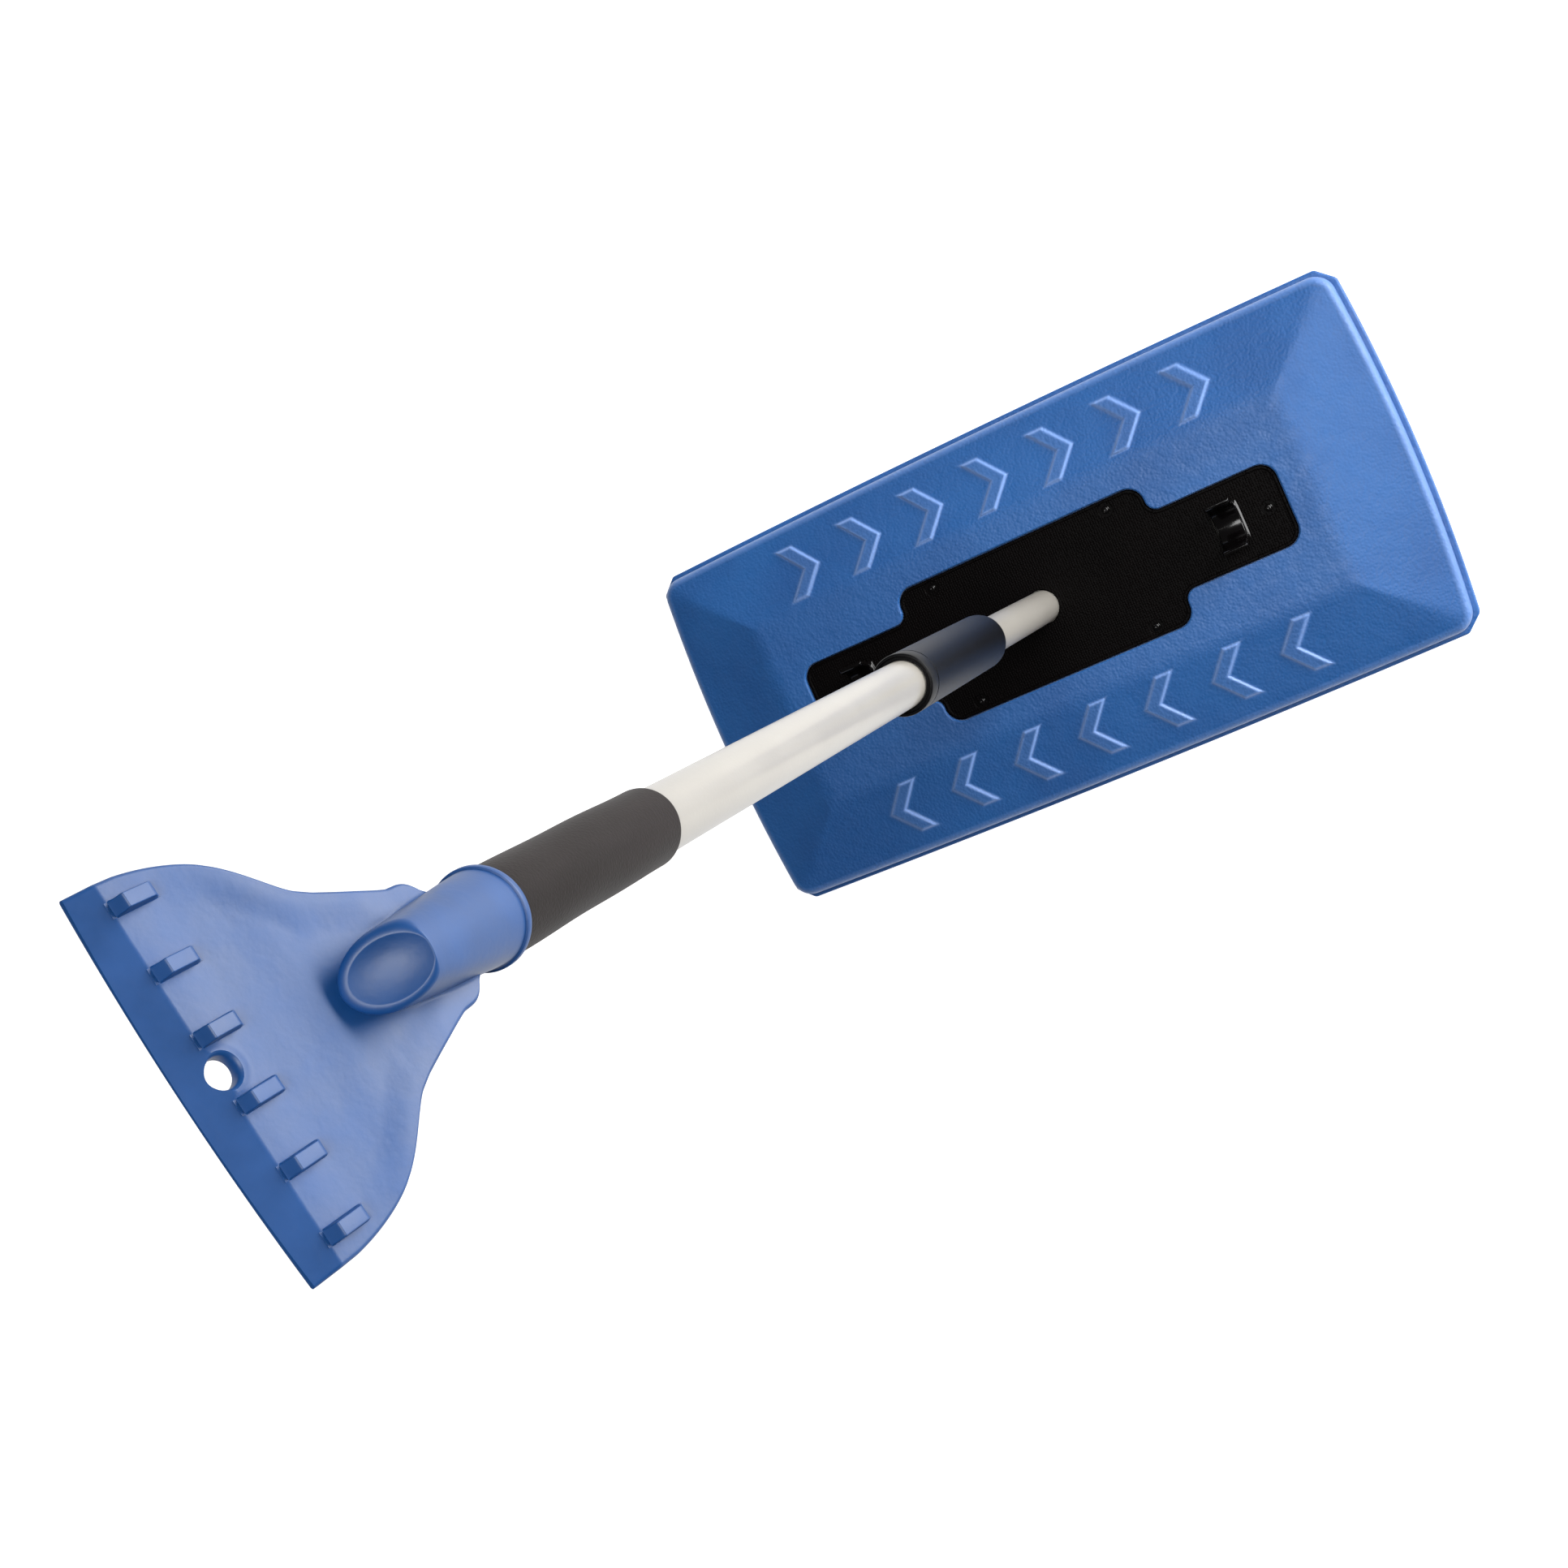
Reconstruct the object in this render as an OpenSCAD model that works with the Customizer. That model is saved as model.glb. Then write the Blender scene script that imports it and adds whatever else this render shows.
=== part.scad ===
// Telescoping snow broom with a foam head at one end and an ice scraper at the other.
// The broom stands on the push face of its head, with the pole along +Z. The origin is on
// the pole's axis at the push face, +X runs along the head's long side. Sizes in millimetres.

/* [Foam head] */
// Overall length of the head, across its bowed ends
head_length = 462; // [380:1:560]
// Overall width of the head, across its bowed sides
head_width = 230; // [195:1:280]
// How far the ends bow outwards
end_bow = 6; // [0:0.5:10]
// How far the long sides bow outwards
side_bow = 2.5; // [0:0.5:6]
// Corner radius of the head in plan
head_corner_r = 11; // [6:0.5:20]
// Thickness of the face layer, which pushes the snow
face_layer = 12; // [12:0.5:18]
// Thickness of the cover layer at its edge
cover_edge = 12; // [8:0.5:18]
// Rise of the cover's centre panel above its edge
cover_rise = 10; // [8:0.5:14]
// Ledge by which the face layer stands out past the cover layer
ledge = 3; // [1:0.5:5]
// Length of each end slope, from the head's end to the flat centre panel
end_slope = 59; // [40:1:66]
// Width of each side slope, from the head's side to the flat centre panel
side_slope = 55; // [40:1:62]

/* [Mount plate] */
// Overall length of the mount plate
plate_length = 309; // [300:1:318]
// Width of the plate's narrow ends
plate_end_width = 50; // [44:1:60]
// Length of the plate's wide middle
plate_mid_length = 160; // [140:1:180]
// Width of the plate's wide middle
plate_mid_width = 87; // [85:1:96]
// Thickness of the mount plate
plate_thick = 4; // [3.5:0.25:5]
// Depth of the plate's top below the centre panel
plate_sink = 2; // [1:0.25:3]
// Distance of the middle rivets from the ends of the plate's wide middle
rivet_inset_x = 22.4; // [16:0.2:30]
// Distance of the middle rivets from the sides of the plate's wide middle
rivet_inset_y = 6; // [5.6:0.2:10]
// Distance of the end rivets from the plate's ends
rivet_end_inset = 10.9; // [9:0.1:16]
// Shank radius of a rivet
rivet_r = 1.6; // [1.4:0.1:2]
// Radius of a rivet's domed head
rivet_head_r = 2.35; // [2.2:0.05:3]
// Radius of the recess round each rivet
rivet_recess_r = 4.4; // [4:0.1:5]
// Thickness of the stiffener plate between the foam layers
stiffener_thick = 3; // [2:0.5:4]
// Distance of the stiffener plate from the head's ends
stiffener_inset_x = 41; // [30:1:50]
// Distance of the stiffener plate from the head's sides
stiffener_inset_y = 40; // [30:1:50]
// Distance of each storage clip's middle from the plate's end
clip_inset = 35; // [30:0.5:44]
// Length of a storage clip, along the stored pole
clip_length = 15; // [10:0.5:20]
// Wall of a storage clip
clip_wall = 3; // [2.2:0.1:3.5]

/* [Pole] */
// Outer radius of the lower, sliding-in tube
inner_tube_r = 10; // [9.9:0.05:10.1]
// Gap between the two tubes
tube_gap = 0.35; // [0.2:0.05:0.5]
// Wall of both tubes
tube_wall = 0.75; // [0.7:0.05:0.8]
// Length of the upper tube
outer_tube_length = 580; // [480:1:700]
// Height of the upper tube's lower end above the push face
outer_tube_foot = 232; // [225:1:260]
// How far the pole pulls out
travel = 420; // [300:1:430]
// Wall of the lock collar round the upper tube
collar_wall = 3.4; // [2.7:0.1:6]
// Length of the lock collar
collar_length = 163; // [130:1:180]
// Wall of the foam grip
grip_wall = 1.8; // [1:0.1:7]
// Length of the foam grip
grip_length = 114; // [80:0.5:150]

/* [Pole thread] */
// Pitch of the moulded thread
thread_pitch = 5.08; // [4:0.01:6]
// Mean radius of the thread on the pole's tip
thread_r = 7.95; // [7.6:0.05:8.1]
// Half the depth of the thread
thread_half_depth = 0.75; // [0.5:0.05:0.85]
// Length of thread on the pole's tip
thread_length = 15; // [12:0.5:15.5]
// Gap between the tip's thread and the socket's
thread_gap = 0.35; // [0.3:0.05:0.4]

/* [Twist lock] */
// Offset of the spindle's eccentric from the pole's axis
lock_offset = 0.4; // [0.3:0.05:0.42]
// Gap between the cam ring and the upper tube's bore when unlocked
cam_gap = 0.75; // [0.75:0.05:1]
// Height of the cam ring
cam_height = 14; // [10:1:18]
// Height of the guide disc
disc_height = 6; // [4:0.5:9]

/* [Ice scraper] */
// Width of the scraping blade
blade_width = 102; // [90:0.2:125]
// Reach of the blade's edge past the stem, along the fan
blade_reach = 78.6; // [74:0.1:95]
// How far the blade's edge bows out in the middle
blade_bow = 1.7; // [0:0.1:3]
// Angle by which the fan leans back from the pole's axis
rake = 20; // [14:1:24]
// Turn of the scraper on the pole
scraper_turn = 10; // [0:1:15]
// Thickness of the fan
fan_thick = 4.5; // [3.8:0.1:6]
// Depth of the sharpened bevel along the edge
bevel_depth = 8.6; // [6:0.1:10]
// Thickness left at the blade's edge
edge_thick = 0.9; // [0.6:0.1:1.5]
// Wall of the stem round the pole
stem_wall = 2.4; // [2:0.1:4]
// Rise of the flange ring above the stem
flange_rise = 0.8; // [0.4:0.1:2]
// Length of the flange ring
flange_length = 2.5; // [1.5:0.5:10]
// Depth of the socket that takes the upper tube
socket_depth = 18; // [15:1:24]
// Number of ice-breaking teeth
teeth = 6; // [4:2:6]
// Spacing of the teeth along the blade
tooth_pitch = 17.4; // [16:0.1:18.4]
// Width of a tooth
tooth_width = 4; // [3:0.1:5]
// Height of a tooth above the fan
tooth_height = 4; // [2.5:0.1:5]
// Length of a tooth
tooth_length = 12.5; // [9:0.5:15]
// Radius of the hanging hole
hang_r = 4; // [3:0.1:4.5]

/* [Hidden] */
$fn = 64;

// Clearances: a snug fit inside one body, a running fit, and open space round what moves.
snug = 0.05;
run = 0.06;
open_gap = 0.4;
eps = 0.01;
foam_blue = "#2a62b0";
scraper_blue = "#5b7fc0";
pp_black = "#17171a";
tube_grey = "#dcd7d0";

// Levels of the head, upwards from the push face.
edge_top = face_layer + cover_edge;
panel_top = edge_top + cover_rise;
plate_top = panel_top - plate_sink;
plate_bottom = plate_top - plate_thick;
stiffener_top = face_layer;
stiffener_bottom = stiffener_top - stiffener_thick;
stiffener_length = head_length - 2 * stiffener_inset_x;
stiffener_width = head_width - 2 * stiffener_inset_y;
panel_length = head_length - 2 * end_slope;
panel_width = head_width - 2 * side_slope;
round_edge = 5;

// The six rivets: four round the middle and one at each end.
rivet_x = plate_mid_length / 2 - rivet_inset_x;
rivet_y = plate_mid_width / 2 - rivet_inset_y;
rivet_end_x = plate_length / 2 - rivet_end_inset;
clip_x = plate_length / 2 - clip_inset;
rivets = [for (sx = [-1, 1], sy = [-1, 1]) [sx * rivet_x, sy * rivet_y],
          for (sx = [-1, 1]) [sx * rivet_end_x, 0]];
rivet_hole_r = rivet_r + 0.1;
recess_depth = 1.2;
washer_r = 5;
washer_thick = 1;

// Levels of the pole's foot, and of the socket that takes it.
tube_foot = plate_top - 3;
shoulder_foot = tube_foot - 2;
seal_thick = 1.5;
insert_top = shoulder_foot - seal_thick;
insert_floor = stiffener_bottom - 3;
insert_spigot_r = thread_r + thread_half_depth + thread_gap + 1.55;
insert_r = insert_spigot_r + 2.4;
thread_foot = insert_floor + 2;
thread_head = thread_foot + thread_length;
neck_r = thread_r - thread_half_depth;
tip_plug_length = 32;
hub_r = insert_r + 4;
pole_hole_r = inner_tube_r + open_gap;
inner_bore_r = inner_tube_r - tube_wall;
outer_bore_r = inner_tube_r + tube_gap;
outer_tube_r = outer_bore_r + tube_wall;
tip_pin_z = plate_top + 12;
pin_r = 1.5;

// Levels of the pole's upper end, down from the scraper.
outer_tube_top = outer_tube_foot + outer_tube_length;
end_plug_length = 33;
end_plug_foot = outer_tube_top - end_plug_length;
screw_head = 2;
disc_play = 0.4;
spindle_top = end_plug_foot - 1 - screw_head;
disc_foot = spindle_top - disc_play - disc_height;
cam_foot = disc_foot - 2 * disc_play - cam_height;
spindle_foot = cam_foot - disc_play;
inner_tube_top = spindle_foot - 2;
plug_length = 26;
plug_pin_z = inner_tube_top - 12;
eccentric_r = 4.2;
spindle_r = 2.8;
spindle_screw_r = 1.2;

// The lock collar and its bush.
collar_foot = outer_tube_foot - 30;
throat = 3;
bush_r = outer_tube_r + 0.25;
collar_r = outer_tube_r + collar_wall;
grip_r = outer_tube_r + grip_wall;

// The scraper.
stem_r = outer_tube_r + stem_wall;
flange_r = stem_r + flange_rise;
flange_foot = outer_tube_top - socket_depth;
grip_foot = flange_foot - grip_length;
stem_foot = flange_foot + flange_length;
fan_root = stem_foot + 25.5;
socket_top = outer_tube_top;
cut_high = fan_root + 24.5;
cut_tilt = 16.5;
dish_depth = 2.6;
dish_r = 17;
dish_x = 3.5;
nose_taper = 0.068;
nose_back = 2.5;
nose_oval = 1.26;
screw_head_r = 3;
screw_sink = 1;
screw_z = flange_foot + socket_depth / 2 + 1;
scraper_screw_r = 1.5;
hang_u = blade_reach - bevel_depth - 1.4;
boss_r = hang_r + 2.4;
boss_rise = 0.8;
tooth_u = blade_reach - bevel_depth - 6;

// Points of a rounded rectangle with half sizes hx and hy whose sides bow outwards by bx and by.
// Every such outline has the same number of points, so two of them can be lofted together.
function rounded(hx, hy, r) = [for (q = [0:3])
    let (sx = (q == 0 || q == 3) ? 1 : -1, sy = q < 2 ? 1 : -1, c = [sx * (hx - r), sy * (hy - r)],
         after = [[-1, 1], [-1, -1], [1, -1], [1, 1]][q],
         next = [after[0] * (hx - r), after[1] * (hy - r)])
    each concat([for (i = [0:6]) c + r * [cos(q * 90 + i * 15), sin(q * 90 + i * 15)]],
                [for (j = [1:9]) (c * (10 - j) + next * j) / 10 + r * [cos(q * 90 + 90), sin(q * 90 + 90)]])];
function bowed(hx, hy, r, bx, by) = [for (p = rounded(hx - bx, hy - by, r))
    [p[0] + sign(p[0]) * bx * (1 - pow(p[1] / hy, 2)) * min(1, abs(p[0]) * 3 / hx),
     p[1] + sign(p[1]) * by * (1 - pow(p[0] / hx, 2)) * min(1, abs(p[1]) * 3 / hy)]];
function at(points, z) = [for (p = points) [p[0], p[1], z]];

// Head outline, moved inwards by a margin.
function head_outline(margin) =
    bowed(head_length / 2 - margin, head_width / 2 - margin, max(head_corner_r - margin, 3), end_bow, side_bow);

// A closed solid through rings of points, from the lowest to the highest.
module loft(rings) {
    n = len(rings[0]);
    k = len(rings);
    polyhedron(
        points = [for (ring = rings) each ring],
        faces = concat(
            [[for (i = [0:n - 1]) i]],
            [for (j = [0:k - 2], i = [0:n - 1]) each [
                [j * n + i, (j + 1) * n + i, (j + 1) * n + (i + 1) % n],
                [j * n + i, (j + 1) * n + (i + 1) % n, j * n + (i + 1) % n]]],
            [[for (i = [n - 1:-1:0]) (k - 1) * n + i]]),
        convexity = 6);
}

// The stepped outline of the mount plate, with round corners inside and out.
module plate_shape(gap = 0) {
    offset(r = gap) offset(r = -7) offset(r = 7 + 10) offset(r = -10) {
        square([plate_length, plate_end_width], center = true);
        square([plate_mid_length, plate_mid_width], center = true);
    }
}

// A tube standing on z = low.
module pipe(r_out, r_in, low, high) {
    translate([0, 0, low]) difference() {
        cylinder(r = r_out, h = high - low);
        translate([0, 0, -eps]) cylinder(r = r_in, h = high - low + 2 * eps);
    }
}

// The lower foam layer, chamfered all round, with pockets for the stiffener, socket and rivet tails.
module foam_face() {
    chamfer = 2;
    color(foam_blue) difference() {
        loft([at(head_outline(chamfer), 0), at(head_outline(0), chamfer),
              at(head_outline(0), face_layer - chamfer), at(head_outline(chamfer), face_layer)]);
        translate([0, 0, stiffener_bottom])
            linear_extrude(stiffener_thick + eps) square([stiffener_length + 1, stiffener_width + 1], center = true);
        translate([0, 0, insert_floor - 1.2]) cylinder(r = insert_spigot_r + 0.3, h = face_layer);
        for (p = rivets) translate([p[0], p[1], stiffener_bottom - washer_thick - 2])
            cylinder(r = washer_r + 0.3, h = face_layer);
    }
}

// The upper foam layer: a bowed slab whose top rises over four hips to a flat centre panel.
module foam_cover() {
    color(foam_blue) difference() {
        loft([at(head_outline(ledge), face_layer), at(head_outline(ledge), edge_top - round_edge),
              at(head_outline(ledge + round_edge * 0.3), edge_top - round_edge * 0.3),
              at(head_outline(ledge + round_edge), edge_top),
              at(rounded(panel_length / 2, panel_width / 2, 8), panel_top)]);
        translate([0, 0, plate_bottom]) linear_extrude(cover_rise) plate_shape(0.5);
        translate([0, 0, face_layer - eps]) cylinder(r = hub_r + 0.4, h = cover_edge + cover_rise);
        for (p = rivets) translate([p[0], p[1], face_layer - eps])
            cylinder(r = rivet_r + 0.8, h = cover_edge + cover_rise);
    }
}

// One storage clip: a cradle along X that the pole snaps into from above.
module storage_clip() {
    bore = outer_tube_r + 0.2;
    centre = plate_top + bore + 1.5;
    lip = centre + bore * 0.4;
    difference() {
        union() {
            translate([0, 0, centre]) rotate([0, 90, 0])
                cylinder(r = bore + clip_wall, h = clip_length, center = true);
            translate([-clip_length / 2, -bore * 0.8, plate_top - 1]) cube([clip_length, bore * 1.6, 6]);
        }
        translate([0, 0, centre]) rotate([0, 90, 0]) cylinder(r = bore, h = clip_length + 2, center = true);
        translate([-clip_length, -2 * bore, lip]) cube([2 * clip_length, 4 * bore, 2 * bore]);
        translate([-clip_length, -2 * bore, plate_top - bore]) cube([2 * clip_length, 4 * bore, bore - 1]);
    }
}

// The plate that ties the pole to the foam, with the socket's hub below and two clips above.
module mount_plate() {
    color(pp_black) difference() {
        union() {
            translate([0, 0, plate_bottom]) linear_extrude(plate_thick) plate_shape();
            translate([0, 0, stiffener_top]) cylinder(r = hub_r, h = plate_bottom - stiffener_top + 1);
            for (s = [-1, 1]) translate([s * clip_x, 0, 0]) storage_clip();
        }
        translate([0, 0, stiffener_top - eps]) cylinder(r = insert_r + snug, h = insert_top - stiffener_top + eps);
        cylinder(r = pole_hole_r, h = 2 * panel_top);
        for (p = rivets) translate([p[0], p[1], 0]) {
            cylinder(r = rivet_hole_r, h = panel_top);
            translate([0, 0, plate_top - recess_depth]) cylinder(r = rivet_recess_r, h = panel_top);
        }
    }
}

// The stiffener plate that spreads the load between the two foam layers.
module stiffener_plate() {
    color(pp_black) translate([0, 0, stiffener_bottom]) difference() {
        linear_extrude(stiffener_thick) square([stiffener_length, stiffener_width], center = true);
        translate([0, 0, -eps]) cylinder(r = insert_spigot_r + 0.1, h = stiffener_thick + 2 * eps);
        for (p = rivets) translate([p[0], p[1], -eps]) cylinder(r = rivet_hole_r, h = stiffener_thick + 2 * eps);
    }
}

// Radius of the rounded right-hand thread at angle a and height z.
function thread_at(a, z) = thread_r + thread_half_depth * cos(360 * (z - insert_floor) / thread_pitch - a);
thread_cols = 32;
thread_row = 0.5;
function ring_of(r, z) = [for (i = [0:thread_cols - 1])
    let (a = 360 * i / thread_cols) [r * cos(a), r * sin(a), z]];

// The socket's insert: a closed cup with the thread inside.
module thread_insert() {
    inner_foot = insert_floor + 1;
    rows = round((insert_top - inner_foot) / thread_row);
    inner = [for (k = [rows:-1:0]) let (z = inner_foot + k * (insert_top - inner_foot) / rows)
        [for (i = [0:thread_cols - 1]) let (a = 360 * i / thread_cols, r = thread_at(a, z) + thread_gap)
            [r * cos(a), r * sin(a), z]]];
    color(tube_grey) loft(concat(
        [ring_of(insert_spigot_r, insert_floor), ring_of(insert_spigot_r, stiffener_top),
         ring_of(insert_r, stiffener_top), ring_of(insert_r, insert_top)], inner));
}

// The six rivets, each with a domed head above and a formed tail below.
module plate_rivets() {
    tail = stiffener_bottom - washer_thick;
    color("#2b2b2e") for (p = rivets) translate([p[0], p[1], 0]) {
        translate([0, 0, tail - 1.2]) cylinder(r = rivet_r + 0.8, h = 1.2);
        translate([0, 0, tail - eps]) cylinder(r = rivet_r, h = plate_top - recess_depth - tail + 2 * eps);
        translate([0, 0, plate_top - recess_depth]) intersection() {
            translate([0, 0, rivet_head_r * -0.5]) sphere(r = rivet_head_r * 1.12);
            cylinder(r = rivet_head_r, h = recess_depth);
        }
    }
}

// The six washers under the rivets' tails.
module rivet_washers() {
    color("silver") for (p = rivets) translate([p[0], p[1], 0])
        pipe(washer_r, rivet_r + snug, stiffener_bottom - washer_thick, stiffener_bottom);
}

// The rubber washer that the pole's shoulder tightens on.
module seal_washer() {
    color("#1c1c1c") pipe(inner_tube_r, neck_r + 0.3, insert_top + 0.02, shoulder_foot - 0.02);
}

// The threaded tip, with a neck, a shoulder and a plug that fills the tube's end.
module thread_tip() {
    rows = round(thread_length / thread_row);
    thread = [for (k = [0:rows]) let (z = thread_foot + k * thread_length / rows,
            grow = min(1, min(k, rows - k) / 4))
        [for (i = [0:thread_cols - 1]) let (a = 360 * i / thread_cols,
                r = neck_r + (thread_at(a, z) - neck_r) * grow) [r * cos(a), r * sin(a), z]]];
    color(pp_black) difference() {
        loft(concat(
            [ring_of(neck_r - 1, insert_floor + 1.4)], thread,
            [ring_of(neck_r, shoulder_foot), ring_of(inner_tube_r - 0.1, shoulder_foot),
             ring_of(inner_tube_r - 0.1, tube_foot), ring_of(inner_bore_r - snug, tube_foot),
             ring_of(inner_bore_r - snug, tube_foot + tip_plug_length)]));
        translate([0, 0, tip_pin_z]) rotate([90, 0, 0]) cylinder(r = pin_r, h = 3 * inner_tube_r, center = true);
    }
}

// The pin that holds the tip in the lower tube.
module tip_pin() {
    color("silver") translate([0, 0, tip_pin_z]) rotate([90, 0, 0])
        cylinder(r = pin_r, h = 2 * inner_tube_r - 0.4, center = true);
}

// The lower tube, cross-drilled at both ends for its pins.
module inner_tube() {
    color(tube_grey) difference() {
        pipe(inner_tube_r, inner_bore_r, tube_foot, inner_tube_top);
        for (z = [tip_pin_z, plug_pin_z]) translate([0, 0, z]) rotate([90, 0, 0])
            cylinder(r = pin_r, h = 3 * inner_tube_r, center = true);
    }
}

// The lock's spindle: a plug in the lower tube, an eccentric for the cam ring and a journal for the disc.
module spindle_plug() {
    color(pp_black) difference() {
        union() {
            translate([0, 0, inner_tube_top - plug_length]) cylinder(r = inner_bore_r - snug, h = plug_length);
            translate([0, 0, inner_tube_top]) cylinder(r = inner_tube_r - 0.1, h = spindle_foot - inner_tube_top);
            translate([lock_offset, 0, spindle_foot - eps])
                cylinder(r = eccentric_r, h = cam_height + 2 * disc_play + eps);
            translate([0, 0, disc_foot - disc_play - eps])
                cylinder(r = spindle_r, h = spindle_top - disc_foot + disc_play + eps);
        }
        translate([0, 0, plug_pin_z]) rotate([90, 0, 0]) cylinder(r = pin_r, h = 3 * inner_tube_r, center = true);
        translate([0, 0, spindle_top - 10]) cylinder(r = spindle_screw_r, h = 12);
    }
}

// The pin that holds the spindle plug in the lower tube.
module plug_pin() {
    color("silver") translate([0, 0, plug_pin_z]) rotate([90, 0, 0])
        cylinder(r = pin_r, h = 2 * inner_tube_r - 0.4, center = true);
}

// The cam ring, which the eccentric wedges against the upper tube's bore.
module cam_ring() {
    color("#c8c8cc") difference() {
        translate([0, 0, cam_foot]) cylinder(r = outer_bore_r - cam_gap, h = cam_height);
        translate([lock_offset, 0, cam_foot - eps]) cylinder(r = eccentric_r + run, h = cam_height + 2 * eps);
    }
}

// The guide disc, which centres the spindle in the upper tube and turns with it.
module guide_disc() {
    color("#e6e4da") pipe(outer_bore_r - run, spindle_r + run, disc_foot, disc_foot + disc_height);
}

// The screw that keeps the disc on the spindle.
module spindle_screw() {
    color("silver") {
        translate([0, 0, spindle_top]) cylinder(r = 4.2, h = screw_head);
        translate([0, 0, spindle_top - 10]) cylinder(r = spindle_screw_r, h = 10 + eps);
    }
}

// The upper tube, drilled for the scraper's screw.
module outer_tube() {
    color(tube_grey) difference() {
        pipe(outer_tube_r, outer_bore_r, outer_tube_foot, outer_tube_top);
        scraper_screw_hole();
    }
}

// The lock collar: a sleeve with a rounded foot, over the upper tube's end and its bush.
module lock_collar() {
    foot_round = 5;
    color(pp_black) difference() {
        translate([0, 0, collar_foot]) rotate_extrude() polygon(concat(
            [[0, 0], [collar_r - foot_round, 0]],
            [for (a = [-75:15:0]) [collar_r - foot_round + foot_round * cos(a), foot_round + foot_round * sin(a)]],
            [[collar_r, collar_length - 0.8], [collar_r - 0.8, collar_length], [0, collar_length]]));
        translate([0, 0, collar_foot - eps]) cylinder(r = inner_tube_r + open_gap, h = collar_length + 2 * eps);
        translate([0, 0, collar_foot + throat]) cylinder(r = bush_r + snug, h = outer_tube_foot - collar_foot - throat);
        translate([0, 0, outer_tube_foot - eps]) cylinder(r = outer_tube_r + snug, h = collar_length);
    }
}

// The split bush in the collar, which guides the lower tube.
module slide_bush() {
    color("#e6e4da") difference() {
        pipe(bush_r, inner_tube_r + run, collar_foot + throat, outer_tube_foot);
        translate([0, -0.8, collar_foot]) cube([2 * bush_r, 1.6, 2 * (outer_tube_foot - collar_foot)]);
    }
}

// The foam grip on the upper tube, with a rounded lower end.
module grip_sleeve() {
    soft = min(1.4, grip_r - outer_tube_r - 0.2);
    color("#4a4543") translate([0, 0, grip_foot]) rotate_extrude() polygon(concat(
        [[outer_tube_r, 0]],
        [for (a = [-90:15:0]) [grip_r - soft + soft * cos(a), soft + soft * sin(a)]],
        [[grip_r, grip_length], [outer_tube_r, grip_length]]));
}

// Points of a cubic curve from a to d, pulled towards b and c.
function curve(a, b, c, d, n) = [for (i = [0:n]) let (t = i / n, s = 1 - t)
    s * s * s * a + 3 * s * s * t * b + 3 * s * t * t * c + t * t * t * d];

// The right half of the fan's outline, from the neck out to the blade's corner.
blade_half = blade_width / 2;
fan_half = concat(
    [[0, -8.5], [11, -8.5]],
    curve([13.2, -7], [15.4, -5.4], [17.6, -4.2], [17.8, -0.4], 5),
    curve([18, 2.1], [20.4, 9], [23, 15], [26, 21.8], 8),
    curve([28.4, 26], [31, 29.8], [blade_half - 13, 35.2], [blade_half - 8.5, 41.5], 8),
    curve([blade_half - 7.7, 42.7], [blade_half - 4.6, 47], [blade_half - 1.6, 55], [blade_half - 0.5, blade_reach - 13.8], 8),
    [[blade_half, blade_reach - blade_bow]],
    [for (i = [1:6]) [blade_half * (1 - i / 6), blade_reach - blade_bow * pow(1 - i / 6, 2)]]);

// The fan's plate in its own frame: the front face is x = 0, z runs to the blade.
module fan_plate() {
    whole = concat(fan_half, [for (i = [len(fan_half) - 2:-1:1]) [-fan_half[i][0], fan_half[i][1]]]);
    bevel_angle = atan((fan_thick - edge_thick) / bevel_depth);
    difference() {
        translate([-fan_thick, 0, 0]) rotate([90, 0, 90]) linear_extrude(fan_thick) polygon(whole);
        translate([0, -blade_width, blade_reach - bevel_depth]) rotate([0, -bevel_angle, 0])
            cube([2 * fan_thick, 2 * blade_width, 2 * bevel_depth]);
    }
}

// One tooth: a wedge with a steep front towards the blade and a long ramp behind.
module tooth() {
    front = tooth_length * 0.22;
    translate([0, tooth_width / 2, 0]) rotate([90, 0, 0]) linear_extrude(tooth_width)
        polygon([[-1, -tooth_length / 2], [0, -tooth_length / 2], [tooth_height, tooth_length / 2 - front],
                 [0, tooth_length / 2], [-1, tooth_length / 2]]);
}

// Places its children in the fan's own frame.
module on_fan() {
    rotate([0, 0, scraper_turn]) translate([0, 0, fan_root]) rotate([0, -rake, 0]) children();
}

// The hole for the scraper's screw, with a sunk seat for its head.
module scraper_screw_hole() {
    rotate([0, 0, scraper_turn]) translate([-2 * stem_r, 0, screw_z]) rotate([0, 90, 0]) {
        cylinder(r = scraper_screw_r, h = 1.55 * stem_r);
        cylinder(r = screw_head_r + 0.1, h = stem_r + screw_sink);
    }
}

// The stem before its top is cut: round at its foot, and tapering above to an oval nose whose front stays upright.
module stem_blank() {
    rise = cut_high + 30 - stem_foot;
    intersection() {
        translate([0, 0, flange_foot]) cylinder(r = stem_r, h = rise + flange_length);
        union() {
            translate([0, 0, flange_foot - 1]) cylinder(r = 1.2 * stem_r, h = flange_length + 1);
            translate([nose_back, 0, stem_foot - eps]) scale([nose_oval, 1, 1])
                cylinder(r1 = stem_r - 0.1, r2 = stem_r - 0.1 - nose_taper * rise, h = rise);
        }
    }
}

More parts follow.
